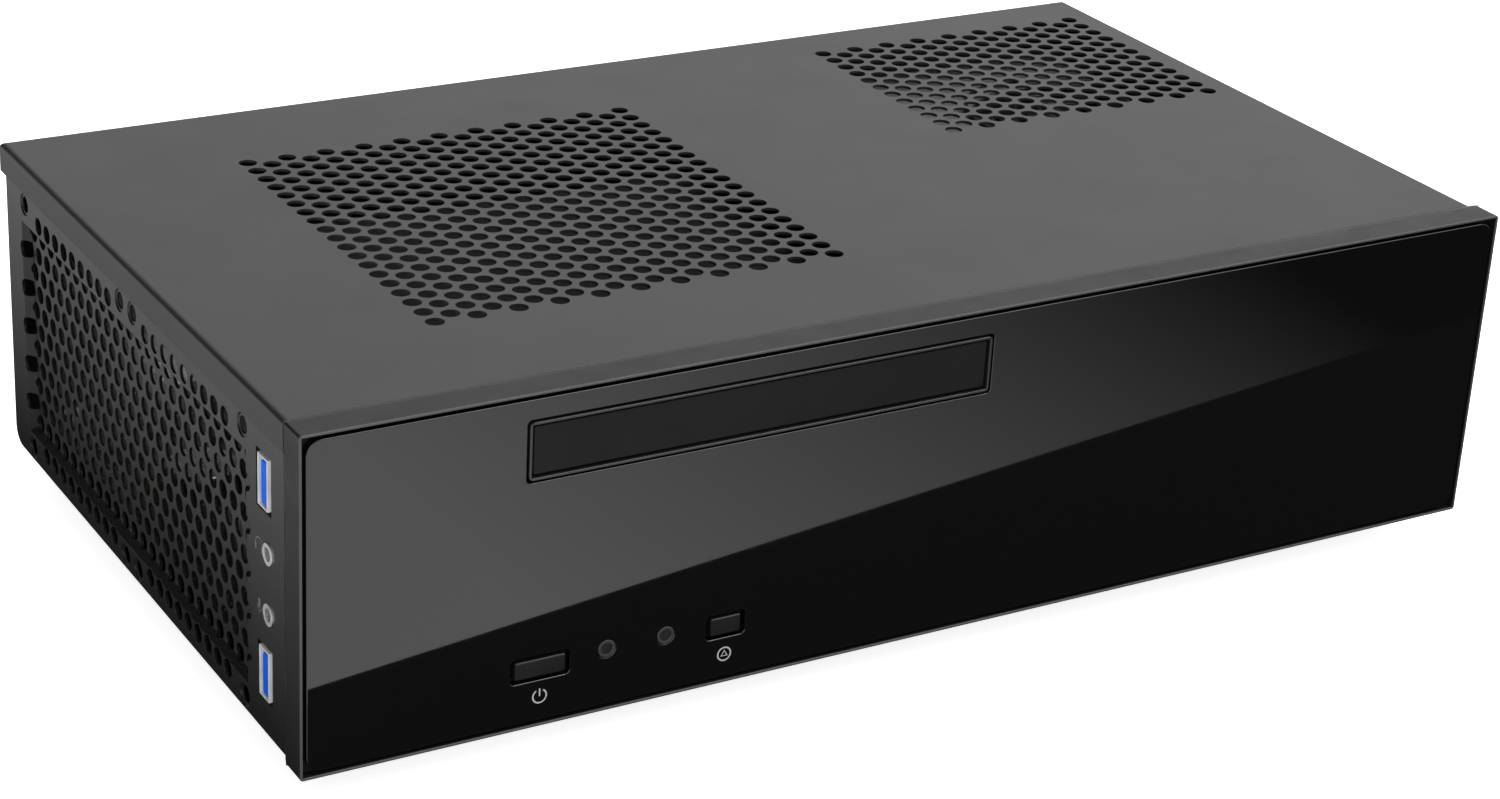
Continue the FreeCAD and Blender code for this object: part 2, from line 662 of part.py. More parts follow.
def make_optical_drive():
    """Slim drive: a steel shell, and a tray that carries the door, spindle and laser sled."""
    outer = block("drive_left", "drive_front", "drive_bottom",
                  "drive_width", "drive_length", "drive_height")
    inner = block("drive_left + drive_skin", "drive_front - beyond", "drive_bottom + drive_skin",
                  "drive_width - 2 * drive_skin", "drive_length + beyond - drive_skin",
                  "drive_height - 2 * drive_skin")
    node("optical_drive_shell", cut(outer, inner))

    body = new_body("tray_door")
    outline = front_sketch(body, "door_front")
    slot_outline(outline, "slot_gap + slot_frame_width + door_gap")
    pad(body, outline, "door_thick", backwards=True)
    fillet(body, 0.6, lambda edge: runs_along(edge, "Y"))
    fillet(body, 0.3, lambda edge: lies_at(edge, "Y", size.door_front))

    tray_front = "(door_front + door_thick)"
    clear = "(drive_skin + 2 * gap)"
    spindle_x = "(drive_left + drive_width / 2)"
    spindle_y = f"({tray_front} + spindle_from_front)"
    tray_z = f"(drive_bottom + {clear})"
    plate = block(f"drive_left + {clear}", tray_front, tray_z,
                  f"drive_width - 2 * {clear}", "tray_length", "tray_height")
    disc_well = rod("z", spindle_x, spindle_y, f"{tray_z} + tray_height - disc_step", "disc_radius",
                    "disc_step + beyond")
    motor_well = rod("z", spindle_x, spindle_y, f"{tray_z} + tray_floor", "motor_radius + 1.5",
                     "tray_height")
    sled_front = f"({spindle_y} + sled_from_spindle)"
    sled_well = block(f"{spindle_x} - sled_width / 2 - 1", f"{sled_front} - 1",
                      f"{tray_z} + tray_floor", "sled_width + 2", "sled_length + sled_travel + 2",
                      "tray_height")
    node("optical_tray", cut(plate, disc_well, motor_well, sled_well))

    moving_z = f"({tray_z} + tray_floor + 0.4)"
    rotor = rod("z", spindle_x, spindle_y, moving_z, "motor_radius", 3.2)
    hub = rod("z", spindle_x, spindle_y, moving_z, "spindle_radius", 6.4)
    rim = cone("z", spindle_x, spindle_y, f"{moving_z} + 6.4", "spindle_radius",
               "spindle_radius - 1", 0.8)
    node("disc_spindle", join(rotor, hub, rim))

    sled = block(f"{spindle_x} - sled_width / 2", sled_front, moving_z, "sled_width",
                 "sled_length", 4.4)
    lens = rod("z", spindle_x, f"{sled_front} + sled_length / 2", f"{moving_z} + 4.4", 3, 0.8)
    node("laser_sled", join(sled, lens))


def make_drive_bracket():
    """A bent steel shelf for both drives, notched where the power supply stands."""
    front = "(bezel_depth + sheet_metal)"
    level = "(drive_bottom - bracket_thick)"
    shelf = block("bracket_left", front, level, "bracket_width", "bracket_length", "bracket_thick")
    flange = block("bracket_left", front, f"{level} - bracket_flange", "bracket_width",
                   "bracket_thick", "bracket_flange")
    under, through = f"{level} - beyond", "bracket_thick + 2 * beyond"
    airway = rod("z", "cooler_x", "cooler_y", under, "airway_radius", through)
    window = block("storage_x + storage_window", "storage_y + storage_window", under,
                   "storage_width - 2 * storage_window", "storage_length - 2 * storage_window",
                   through)
    notch = block("bracket_notch_x", "bracket_notch_y", under, "bracket_width", "bracket_length",
                  through)
    node("drive_bracket", cut(join(shelf, flange), airway, window, notch))
    lid_thick = 1
    case = block("storage_x", "storage_y", "drive_bottom", "storage_width", "storage_length",
                 f"storage_height - {lid_thick}")
    lid = block("storage_x + 1", "storage_y + 1", f"drive_bottom + storage_height - {lid_thick}",
                "storage_width - 2", "storage_length - 2", lid_thick)
    node("storage_drive", join(case, lid))


# ---------------------------------------------------------------- motherboard

def board_hole_places():
    first_x = size.board_left + size.board_hole_edge_x
    last_y = size.board_back - size.board_hole_edge_y
    return [(x, y) for x in (first_x, first_x + size.board_hole_x)
            for y in (last_y - size.board_hole_y, last_y)]


BOARD_BOTTOM = "(sheet_metal + standoff_height)"
BOARD_TOP = "(sheet_metal + standoff_height + board_thick)"


def make_motherboard():
    body = new_body("motherboard")
    outline = sketch_on(body, "XY_Plane", BOARD_BOTTOM)
    rectangle(outline, "board_left", "board_back - board_size", "board_size", "board_size")
    pad(body, outline, "board_thick")
    holes = sketch_on(body, "XY_Plane", BOARD_TOP)
    circles(holes, board_hole_places(), size.machine_screw)
    pocket(body, holes, "2 * board_thick")
    posts = []
    screws = []
    for x, y in board_hole_places():
        post = doc.addObject("Part::Prism", "post")
        post.Polygon = 6
        bind(post, Circumradius=3, Height="standoff_height")
        place(post, x, y, "sheet_metal")
        posts.append(cut(post, rod("z", x, y, "sheet_metal", "machine_screw",
                                   "standoff_height + beyond")))
        shank = rod("z", x, y, f"{BOARD_TOP} - board_screw_length", "machine_screw",
                    "board_screw_length")
        head = rod("z", x, y, BOARD_TOP, "pan_head", "screw_head")
        screws.append(join(shank, head))
    node("standoffs", group(*posts))
    node("board_screws", group(*screws))


# Each rear port stands on the motherboard: its left edge, width and height.
FIRST_USB = (64, 14, 16.5)
SECOND_USB = (84, 14, 16.5)
LAN = (104, 16, 13.6)
VIDEO = (40, 16, 7.5)
SOUND = (126, 38, 13)


def port_block(left, width, height):
    """A connector's body on the board, reaching just through the rear shield."""
    return block(left, "case_depth - 18", BOARD_TOP, width, 17.4, height)


def port_hole(left, width, height):
    return block(left, "case_depth - 4", BOARD_TOP, width, 6, height)


def make_usb_stack(left, width, height):
    """Two sockets above each other, each with its tongue."""
    mouth_width, mouth_height, tongue_thick = 12.4, 5.2, 1.9
    cavities = []
    for level in (1.4, 9.4):
        mouth = block(left + (width - mouth_width) / 2, "case_depth - 12", f"{BOARD_TOP} + {level}",
                      mouth_width, 14, mouth_height)
        tongue = block(left + (width - mouth_width) / 2 + 1, "case_depth - 13",
                       f"{BOARD_TOP} + {level} + {mouth_height / 2}", mouth_width - 2, 11.5,
                       tongue_thick)
        cavities.append(cut(mouth, tongue))
    return cut(port_block(left, width, height), *cavities)


def make_rear_ports():
    node("rear_usb_ports", group(make_usb_stack(*FIRST_USB), make_usb_stack(*SECOND_USB)))
    left, width, _ = LAN
    node("lan_port", cut(port_block(*LAN), block(left + 2, "case_depth - 13", f"{BOARD_TOP} + 2",
                                                 width - 4, 14, 9)))
    left, width, _ = VIDEO
    mouth = block(left + 1, "case_depth - 10", f"{BOARD_TOP} + 1.4", width - 2, 12, 4.8)
    tongue = block(left + 3, "case_depth - 11", f"{BOARD_TOP} + 3.2", width - 6, 9, 1)
    node("video_port", cut(port_block(*VIDEO), cut(mouth, tongue)))
    left, width, height = SOUND
    bores = [rod("y", left + width / 2 + side * width / 3, "case_depth - 14",
                 f"{BOARD_TOP} + {height / 2}", "jack_bore", 16) for side in (-1, 0, 1)]
    node("rear_audio_ports", cut(port_block(*SOUND), *bores))

    shield = block("io_left", "case_depth - 2 * sheet_metal - gap", "io_bottom", "io_width",
                   "sheet_metal", "io_height")
    holes = [port_hole(*port) for port in (FIRST_USB, SECOND_USB, LAN, VIDEO, SOUND)]
    node("io_shield", cut(shield, *holes))


def make_fan(prefix, x, y, z):
    """A square fan: its frame with four struts, and a rotor with seven pitched blades."""
    outer, bore = f"{prefix}_fan_size", f"{prefix}_fan_bore"
    reach, hub = f"{prefix}_fan_reach", f"{prefix}_fan_hub"
    shell = block(f"{x} - {outer} / 2", f"{y} - {outer} / 2", z, outer, outer, "fan_thick")
    under, through = f"{z} - beyond", "fan_thick + 2 * beyond"
    bolt = f"({outer} / 2 - 4.75)"
    bolts = [rod("z", f"{x} + {side} * {bolt}", f"{y} + {end} * {bolt}", under, 2.15, through)
             for side in (-1, 1) for end in (-1, 1)]
    motor = rod("z", x, y, z, hub, "strut_thick")
    length = f"2 * ({bore} + 1)"
    struts = [block(f"{x} - {bore} - 1", f"{y} - strut_width / 2", z, length, "strut_width",
                    "strut_thick"),
              block(f"{x} - strut_width / 2", f"{y} - {bore} - 1", z, "strut_width", length,
                    "strut_thick")]
    frame = cut(shell, rod("z", x, y, under, bore, through), *bolts)
    node(f"{prefix}_fan_frame", join(frame, motor, *struts))

    rotor_z = f"({z} + strut_thick + 0.4)"
    rotor_height = "(fan_thick - strut_thick - 1.4)"
    centre = rod("z", x, y, rotor_z, hub, rotor_height)
    blades = []
    count, pitch, root, chord = 7, 38, 3, 14
    lean = Rotation(Vector(1, 0, 0), pitch)
    low_corner = Vector(getattr(size, hub) - root, -size.blade_thick / 2, -chord / 2)
    for index in range(count):
        blade = doc.addObject("Part::Box", "blade")
        bind(blade, Length=f"{reach} + 2 - {hub} + {root}", Width="blade_thick", Height=chord)
        spin = Rotation(Vector(0, 0, 1), 360 / count * index)
        corner = spin.multVec(lean.multVec(low_corner))
        place(blade, f"{x} + {corner.x}", f"{y} + {corner.y}",
              f"{rotor_z} + {rotor_height} / 2 + {corner.z}", spin.multiply(lean))
        blades.append(blade)
    envelope = rod("z", x, y, rotor_z, reach, rotor_height)
    node(f"{prefix}_fan_rotor", common(join(centre, *blades), envelope))


def make_cooler():
    """Processor in its socket, a finned heatsink on it, and the fan on top."""
    half = "socket_size / 2"
    socket = block(f"cooler_x - {half}", f"cooler_y - {half}", BOARD_TOP, "socket_size",
                   "socket_size", "socket_height")
    node("processor_socket", socket)
    base_z = f"({BOARD_TOP} + socket_height)"
    edge = size.cooler_fan_size / 2 - 1
    base = block(f"cooler_x - {edge}", f"cooler_y - {edge}", base_z, 2 * edge, 2 * edge,
                 "cooler_base")
    count = 23
    spacing = (2 * edge - size.fin_thick) / (count - 1)
    fins = [block(f"cooler_x - {edge - spacing * index}", f"cooler_y - {edge}",
                  f"{base_z} + cooler_base", "fin_thick", 2 * edge, "fin_height")
            for index in range(count)]
    node("cpu_heatsink", join(base, *fins))
    make_fan("cooler", "cooler_x", "cooler_y", f"({base_z} + cooler_base + fin_height)")


def make_memory():
    slots = []
    modules = []
    left, slot_width, board_thick, slot_depth = 25, 6.5, 1.3, 3
    chip_pitch, chip_width, chip_height, chip_thick = 15.5, 11, 9, 1.1
    for y in (44, 54):
        board_y = y + (slot_width - board_thick) / 2
        board_z = f"({BOARD_TOP} + {slot_depth})"
        slots.append(cut(block(left, y, BOARD_TOP, "memory_length + 8", slot_width, 8),
                         block(left + 4, board_y, board_z, "memory_length", board_thick, 6)))
        board = block(left + 4, board_y, board_z, "memory_length", board_thick, "memory_height")
        chips = [block(left + 10 + chip_pitch * index, board_y - chip_thick,
                       f"{board_z} + {chip_height}", chip_width, chip_thick, chip_height)
                 for index in range(8)]
        modules.append(join(board, *chips))
    node("memory_slots", group(*slots))
    node("memory_modules", group(*modules))


def make_board_connectors():
    left, front, row_pitch = 168, 62, 4.25
    header = block(left, front, BOARD_TOP, 8, 52, "header_height")
    cells = [block(left + 1 + 3.4 * column, front + 1 + row_pitch * row, f"{BOARD_TOP} + 1.5", 2.6,
                   3.4, "header_height") for column in range(2) for row in range(12)]
    node("power_connector", cut(header, *cells))
    left, front, width, base, fin_pitch = 24, 74, 30, 4, 4.15
    sink = block(left, front, BOARD_TOP, width, width, base)
    fins = [block(left + fin_pitch * index, front, f"{BOARD_TOP} + {base}", "fin_thick", width, 8)
            for index in range(8)]
    node("chipset_heatsink", join(sink, *fins))


# ---------------------------------------------------------------- power supply

SUPPLY_BACK = "(case_depth - 2 * sheet_metal - gap)"
SUPPLY_FRONT = f"({SUPPLY_BACK} - supply_length)"


def supply_screw_places():
    """Four screws near the corners of the power supply's rear face."""
    inset = size.supply_screw_inset
    left = size.supply_left + inset
    right = size.supply_left + size.supply_width - inset
    bottom = size.sheet_metal + inset
    top = size.sheet_metal + size.supply_height - inset
    return [(x, z) for x in (left, right) for z in (bottom, top)]


def make_supply_shells():
    """Two bent shells: the lower one has the end walls, the upper one the sides and fan hole."""
    lower = new_body("psu_lower_shell")
    outline = sketch_on(lower, "XY_Plane", "sheet_metal")
    rectangle(outline, "supply_left + supply_skin", SUPPLY_FRONT, "supply_width - 2 * supply_skin",
              "supply_length")
    pad(lower, outline, "supply_height - supply_skin")
    inside = sketch_on(lower, "XY_Plane", "sheet_metal + supply_skin")
    rectangle(inside, "supply_left", f"{SUPPLY_FRONT} + supply_skin", "supply_width",
              "supply_length - 2 * supply_skin")
    pocket(lower, inside, "supply_height", backwards=True)
    rear = front_sketch(lower, f"{SUPPLY_BACK} - supply_skin")
    rectangle(rear, "inlet_x - inlet_width / 2", "inlet_z - inlet_height / 2", "inlet_width",
              "inlet_height")
    rectangle(rear, "rocker_x - rocker_width / 2 - 2", "inlet_z - inlet_height / 2",
              "rocker_width + 4", "inlet_height")
    circles(rear, [(x, z) for z, x in hexagonal(46, 278, 4, 15)], size.hole_radius)
    circles(rear, [(x, z) for z, x in hexagonal(22, 250, 3, 6)], size.hole_radius)
    circles(rear, supply_screw_places(), size.machine_screw)
    pocket(lower, rear, "2 * supply_skin")
    cable_exit = front_sketch(lower, f"{SUPPLY_FRONT} - beyond")
    circles(cable_exit, [(size.supply_left + size.cable_exit_x, size.cable_exit_z)],
            size.cable_exit_radius)
    pocket(lower, cable_exit, "supply_skin + 2 * beyond")

    upper = new_body("psu_upper_shell")
    outline = sketch_on(upper, "XY_Plane", "sheet_metal")
    rectangle(outline, "supply_left", SUPPLY_FRONT, "supply_width", "supply_length")
    pad(upper, outline, "supply_height")
    inside = front_sketch(upper, f"{SUPPLY_FRONT} - beyond")
    rectangle(inside, "supply_left + supply_skin", "sheet_metal - beyond",
              "supply_width - 2 * supply_skin", "supply_height - supply_skin + beyond")
    pocket(upper, inside, "supply_length + 2 * beyond")
    opening = sketch_on(upper, "XY_Plane", "sheet_metal + supply_height")
    circles(opening, [(size.supply_fan_x, size.supply_fan_y)], size.supply_fan_hole)
    pocket(upper, opening, "2 * supply_skin")


def make_supply_inside():
    lid = "(sheet_metal + supply_height)"
    ring_z = f"({lid} + guard_bar + 0.5 * guard_wire)"
    count = 4
    rings = [ring("supply_fan_x", "supply_fan_y", ring_z, f"guard_radius * {index / count}",
                  "guard_wire") for index in range(1, count + 1)]
    bars = [block("supply_fan_x - guard_radius", "supply_fan_y - guard_bar", lid,
                  "2 * guard_radius", "2 * guard_bar", "guard_bar"),
            block("supply_fan_x - guard_bar", "supply_fan_y - guard_radius", lid,
                  "2 * guard_bar", "2 * guard_radius", "guard_bar")]
    node("psu_fan_guard", join(*rings, *bars))
    make_fan("psu", "supply_fan_x", "supply_fan_y", f"({lid} - supply_skin - fan_thick)")
    floor = "(sheet_metal + supply_board_level)"
    node("psu_board", block("supply_left + 4", f"{SUPPLY_FRONT} + 4", floor, "supply_width - 8",
                            "supply_length - 26", "board_thick"))
    top = f"({floor} + board_thick)"
    width, depth, height = 30, 26, 24
    core = block("supply_left + 50", f"{SUPPLY_FRONT} + 30", top, width, depth, height)
    winding = rod("z", f"supply_left + 50 + {width / 2}", f"{SUPPLY_FRONT} + 30 + {depth / 2}",
                  f"{top} + {height}", 11, 3)
    node("psu_transformer", join(core, winding))
    cans = [rod("z", f"supply_left + {x}", f"{SUPPLY_FRONT} + {y}", top, radius, tall)
            for x, y, radius, tall in ((98, 30, 10, 30), (98, 56, 8, 26), (26, 52, 5, 20),
                                       (38, 52, 5, 20), (26, 65, 5, 20))]
    node("psu_capacitors", group(*cans))


def make_inlet_and_switch():
    back = f"({SUPPLY_BACK} + supply_bezel)"
    cavity_front = f"({back} - inlet_depth + 3)"
    shell = block("inlet_x - inlet_width / 2", f"{back} - inlet_depth", "inlet_z - inlet_height / 2",
                  "inlet_width", "inlet_depth", "inlet_height")
    cavity = block("inlet_x - inlet_width / 2 + inlet_wall", cavity_front,
                   "inlet_z - inlet_height / 2 + inlet_wall + 0.2", "inlet_width - 2 * inlet_wall",
                   "inlet_depth", "inlet_height - 2 * inlet_wall - 0.4")
    node("ac_inlet", cut(shell, cavity))
    blade_width, blade_length, blade_height = 2, 13, 4
    pins = [block(f"inlet_x + {x} - {blade_width / 2}", cavity_front,
                  f"inlet_z + {z} - {blade_height / 2}", blade_width, blade_length, blade_height)
            for x, z in ((-7, 2), (7, 2), (0, -3))]
    node("ac_inlet_pins", group(*pins))

    frame = block("rocker_x - rocker_width / 2 - 2", f"{back} - 12", "inlet_z - inlet_height / 2",
                  "rocker_width + 4", 12, "inlet_height")
    well = block("rocker_x - rocker_width / 2 - gap", f"{back} - 10",
                 "inlet_z - rocker_length / 2 - 1.2", "rocker_width + 2 * gap", 11,
                 "rocker_length + 2.4")
    hinge_y = f"({back} - rocker_thick + 1)"
    pivot_start = "rocker_x - rocker_width / 2 - gap - pivot_length"
    pivot_span = "rocker_width + 2 * (gap + pivot_length)"
    bearing = rod("x", f"{pivot_start} - pivot_clearance", hinge_y, "inlet_z",
                  "pivot_radius + pivot_clearance", f"{pivot_span} + 2 * pivot_clearance")
    node("psu_switch_frame", cut(frame, well, bearing))

    half = size.rocker_length / 2
    rise = half * math.tan(math.radians(size.rocker_tilt))
    thick = size.rocker_thick
    profile = [(-half, 0), (half, 0), (half, thick - rise), (0, thick - 2 * rise),
               (-half, thick - rise)]
    points = [Vector(0, y, z) for z, y in profile]
    face = Part.Face(Part.makePolygon(points + points[:1]))
    rocker = doc.addObject("Part::Feature", "rocker")
    rocker.Shape = face.extrude(Vector(size.rocker_width, 0, 0))
    tilt = Rotation(Vector(1, 0, 0), -size.rocker_tilt)
    place(rocker, "rocker_x - rocker_width / 2", hinge_y, "inlet_z", tilt)
    pivot = rod("x", pivot_start, hinge_y, "inlet_z", "pivot_radius", pivot_span)
    node("psu_switch_rocker", join(rocker, pivot))


def make_supply_screws():
    screws = []
    for x, z in supply_screw_places():
        shank = rod("y", x, f"{SUPPLY_BACK} - 5", z, "machine_screw", "5 + sheet_metal")
        head = rod("y", x, f"{SUPPLY_BACK} + sheet_metal", z, "pan_head", "screw_head")
        slots = cross_slot(x, f"{SUPPLY_BACK} + sheet_metal + 1.1", z)
        screws.append(cut(join(shank, head), *slots))
    node("psu_screws", group(*screws))


# ---------------------------------------------------------------- internal cable

def round_path(points):
    """Straight runs joined by tangent arcs, each as large as its two runs allow."""
    edges = []
    start = points[0]
    for before, corner, after in zip(points, points[1:], points[2:]):
        back, ahead = before - corner, after - corner
        reach = 0.45 * min(back.Length, ahead.Length)
        back.normalize()
        ahead.normalize()
        half_turn = (math.pi - back.getAngle(ahead)) / 2
        radius = reach / math.tan(half_turn)
        middle = (back + ahead).normalize()
        arc_start, arc_end = corner + back * reach, corner + ahead * reach
        arc_middle = corner + middle * (math.hypot(radius, reach) - radius)
        edges.append(Part.LineSegment(start, arc_start).toShape())
        edges.append(Part.Arc(arc_start, arc_middle, arc_end).toShape())
        start = arc_end
    edges.append(Part.LineSegment(start, points[-1]).toShape())
    return Part.Wire(edges)


def make_power_cable():
    """The sleeved bundle from the power supply's front wall to the motherboard's connector."""
    supply_front = size.case_depth - 2 * size.sheet_metal - size.gap - size.supply_length
    connector_top = (size.sheet_metal + size.standoff_height + size.board_thick
                     + size.header_height)
    exit_x, exit_z = size.supply_left + size.cable_exit_x, size.cable_exit_z
    points = [Vector(exit_x, supply_front, exit_z), Vector(exit_x, supply_front - 24, exit_z + 2),
              Vector(206, supply_front - 21, 37), Vector(172, supply_front - 15, 39),
              Vector(172, supply_front - 15, connector_top)]
    path = round_path(points)
    section = Part.Wire(Part.Circle(points[0], Vector(0, -1, 0.08), size.cable_radius).toShape())
    cable = doc.addObject("Part::Feature", "cable")
    cable.Shape = path.makePipeShell([section], True, True)
    place(cable, 0, 0, 0)
    node("power_cable", cable)


# ---------------------------------------------------------------- assembly

make_top_cover()
make_cover_screws()
make_chassis_base()
make_front_wall()
make_rear_panel()
make_left_side_panel()
make_right_side_panel()
make_feet()
make_front_bezel()
make_front_panel()
make_bezel_screws()
make_drive_slot_frame()
make_button("power_button", "power_x", "power_width")
make_button("reset_button", "reset_x", "reset_width")
make_button_board()
make_side_ports()
make_optical_drive()
make_drive_bracket()
make_motherboard()
make_rear_ports()
make_cooler()
make_memory()
make_board_connectors()
make_supply_shells()
make_supply_inside()
make_inlet_and_switch()
make_supply_screws()
make_power_cable()
doc.recompute()

for item in doc.Objects:
    if "Invalid" in item.State or "Error" in item.State:
        raise RuntimeError(f"{item.Label} failed: {item.State}")

os.makedirs("parts", exist_ok=True)
for item in nodes:
    if item.Shape.isNull() or not item.Shape.isValid():
        raise RuntimeError(f"{item.Label} has no valid shape")
    item.Shape.exportStep(f"parts/{item.Label}.step")
print(len(nodes), "sub-parts written")
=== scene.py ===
"""Looks of the slim desktop computer: materials for its CAD parts, small printed and soldered
details, a plain studio and the camera. All lengths are in metres, in the CAD's own frame."""
import bpy
import math
from mathutils import Matrix, Vector


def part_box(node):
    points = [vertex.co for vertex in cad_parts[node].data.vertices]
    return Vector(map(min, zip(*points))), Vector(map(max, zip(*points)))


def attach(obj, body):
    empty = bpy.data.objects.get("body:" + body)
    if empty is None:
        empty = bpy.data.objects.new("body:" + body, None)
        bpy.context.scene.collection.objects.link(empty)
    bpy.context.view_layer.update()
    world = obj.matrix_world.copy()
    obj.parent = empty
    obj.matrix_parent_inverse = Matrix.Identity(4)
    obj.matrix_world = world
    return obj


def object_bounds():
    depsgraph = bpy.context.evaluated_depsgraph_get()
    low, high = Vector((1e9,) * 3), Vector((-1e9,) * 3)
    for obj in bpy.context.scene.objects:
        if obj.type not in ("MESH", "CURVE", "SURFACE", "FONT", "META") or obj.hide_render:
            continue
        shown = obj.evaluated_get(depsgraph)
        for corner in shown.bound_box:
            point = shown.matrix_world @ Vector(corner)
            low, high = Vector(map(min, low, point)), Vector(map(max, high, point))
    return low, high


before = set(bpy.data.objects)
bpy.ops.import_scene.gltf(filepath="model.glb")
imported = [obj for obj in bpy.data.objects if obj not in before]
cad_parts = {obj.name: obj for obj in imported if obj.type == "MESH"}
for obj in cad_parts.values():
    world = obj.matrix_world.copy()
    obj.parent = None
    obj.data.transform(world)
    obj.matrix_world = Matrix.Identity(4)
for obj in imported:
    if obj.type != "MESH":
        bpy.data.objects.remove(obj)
cad_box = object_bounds()
MM = 0.001
PRINT_PROUD = 0.03 * MM                 # prints stand this far off the surface under them

# The Mix node's sockets for colours, which share their names with its other kinds.
MIX_FACTOR, MIX_FIRST, MIX_SECOND, MIX_RESULT = 0, 6, 7, 2


# ---------------------------------------------------------------- procedural materials

class Surface:
    """A Principled material whose patterns are laid out in the part's own coordinates."""

    def __init__(self, name, color, roughness, metallic=0.0, **sockets):
        self.material = bpy.data.materials.new(name)
        self.material.use_nodes = True
        self.tree = self.material.node_tree
        self.shader = self.tree.nodes["Principled BSDF"]
        self.place = self.add("ShaderNodeTexCoord").outputs["Object"]
        self.normal = None
        self.set(Base_Color=(*color, 1.0), Roughness=roughness, Metallic=metallic, **sockets)

    def set(self, **sockets):
        for key, value in sockets.items():
            self.shader.inputs[key.replace("_", " ")].default_value = value

    def add(self, kind, **settings):
        item = self.tree.nodes.new(kind)
        for key, value in settings.items():
            setattr(item, key, value)
        return item

    def link(self, source, target):
        self.tree.links.new(source, target)

    def stretched(self, stretch):
        mapping = self.add("ShaderNodeMapping")
        mapping.inputs["Scale"].default_value = stretch
        self.link(self.place, mapping.inputs["Vector"])
        return mapping.outputs["Vector"]

    def noise(self, size, detail=3.0, stretch=None, rough=0.5):
        """Noise whose blobs are about this many metres across."""
        item = self.add("ShaderNodeTexNoise")
        item.inputs["Scale"].default_value = 1.0 / size
        item.inputs["Detail"].default_value = detail
        item.inputs["Roughness"].default_value = rough
        self.link(self.stretched(stretch) if stretch else self.place, item.inputs["Vector"])
        return item.outputs["Fac"]

    def cells(self, size, feature="F1", distance="EUCLIDEAN", stretch=None):
        item = self.add("ShaderNodeTexVoronoi", feature=feature)
        if feature != "DISTANCE_TO_EDGE":
            item.distance = distance
        item.inputs["Scale"].default_value = 1.0 / size
        self.link(self.stretched(stretch) if stretch else self.place, item.inputs["Vector"])
        return item.outputs["Distance"]

    def ranged(self, source, low, high, start=0.3, end=0.7):
        """A value that goes from low to high as the source goes from start to end."""
        item = self.add("ShaderNodeMapRange", clamp=True)
        for key, value in (("From Min", start), ("From Max", end), ("To Min", low), ("To Max", high)):
            item.inputs[key].default_value = value
        self.link(source, item.inputs["Value"])
        return item.outputs["Result"]

    def blend_colors(self, source, first, second):
        """A colour between two: each is a colour or a socket that carries one."""
        item = self.add("ShaderNodeMix", data_type="RGBA")
        self.link(source, item.inputs[MIX_FACTOR])
        for slot, value in ((MIX_FIRST, first), (MIX_SECOND, second)):
            if isinstance(value, tuple):
                item.inputs[slot].default_value = (*value, 1.0)
            else:
                self.link(value, item.inputs[slot])
        return item.outputs[MIX_RESULT]

    def color(self, socket):
        self.link(socket, self.shader.inputs["Base Color"])

    def roughness(self, socket):
        self.link(socket, self.shader.inputs["Roughness"])

    def soft_edges(self, radius):
        """Rounds the shading of sharp edges, as paint and pressing do."""
        item = self.add("ShaderNodeBevel", samples=4)
        item.inputs["Radius"].default_value = radius
        self.normal = item.outputs["Normal"]
        self.link(self.normal, self.shader.inputs["Normal"])

    def bump(self, source, height, strength=1.0):
        """Raises the surface by this many metres where the source is 1."""
        item = self.add("ShaderNodeBump")
        item.inputs["Distance"].default_value = height
        item.inputs["Strength"].default_value = strength
        self.link(source, item.inputs["Height"])
        if self.normal:
            self.link(self.normal, item.inputs["Normal"])
        self.normal = item.outputs["Normal"]
        self.link(self.normal, self.shader.inputs["Normal"])

    def edge_wear_and_highlight(self, radius, base, wear_and_highlight, amount, broken=(0.2, 1.0)):
        """Lets a lighter colour show where the surface turns over an edge, broken up along it:
        partly wear from rubbing, partly a painted highlight where the edge would catch the light.
        """
        bevel = self.add("ShaderNodeBevel", samples=4)
        bevel.inputs["Radius"].default_value = radius
        plain = self.add("ShaderNodeNewGeometry")
        turn = self.add("ShaderNodeVectorMath", operation="DOT_PRODUCT")
        self.link(bevel.outputs["Normal"], turn.inputs[0])
        self.link(plain.outputs["Normal"], turn.inputs[1])
        sharp, flat = 0.80, 0.98        # cosines of the turn at full wear and at none
        edge = self.ranged(turn.outputs["Value"], amount, 0.0, sharp, flat)
        patches = self.ranged(self.noise(4 * MM, 5), *broken, 0.42, 0.6)
        share = self.add("ShaderNodeMath", operation="MULTIPLY")
        self.link(edge, share.inputs[0])
        self.link(patches, share.inputs[1])
        self.color(self.blend_colors(share.outputs[0], base, wear_and_highlight))


def powder_coat(name, shade, roughness=(0.34, 0.46), rub_and_highlight=2.6, **sockets):
    """Fine-textured satin paint on steel: tiny grains, faint clouding, and lighter edges, partly
    paint thinned by rubbing and partly a painted highlight, more so as the edge factor rises.
    """
    coat = Surface(name, (shade, shade, shade * 1.01), roughness[0], **sockets)
    clouds = coat.noise(45 * MM, 4)
    base = coat.blend_colors(coat.ranged(clouds, 0.0, 1.0), (shade * 0.94,) * 3, (shade * 1.07,) * 3)
    # lighter edges and hole rims: wear from rubbing, plus painted highlight as the factor rises
    coat.edge_wear_and_highlight(0.35 * MM, base, (shade * rub_and_highlight,) * 3, 0.5)
    coat.roughness(coat.ranged(coat.noise(25 * MM, 5), *roughness))
    coat.soft_edges(0.2 * MM)
    coat.bump(coat.noise(0.35 * MM, 2), 0.02 * MM, 0.5)
    return coat.material


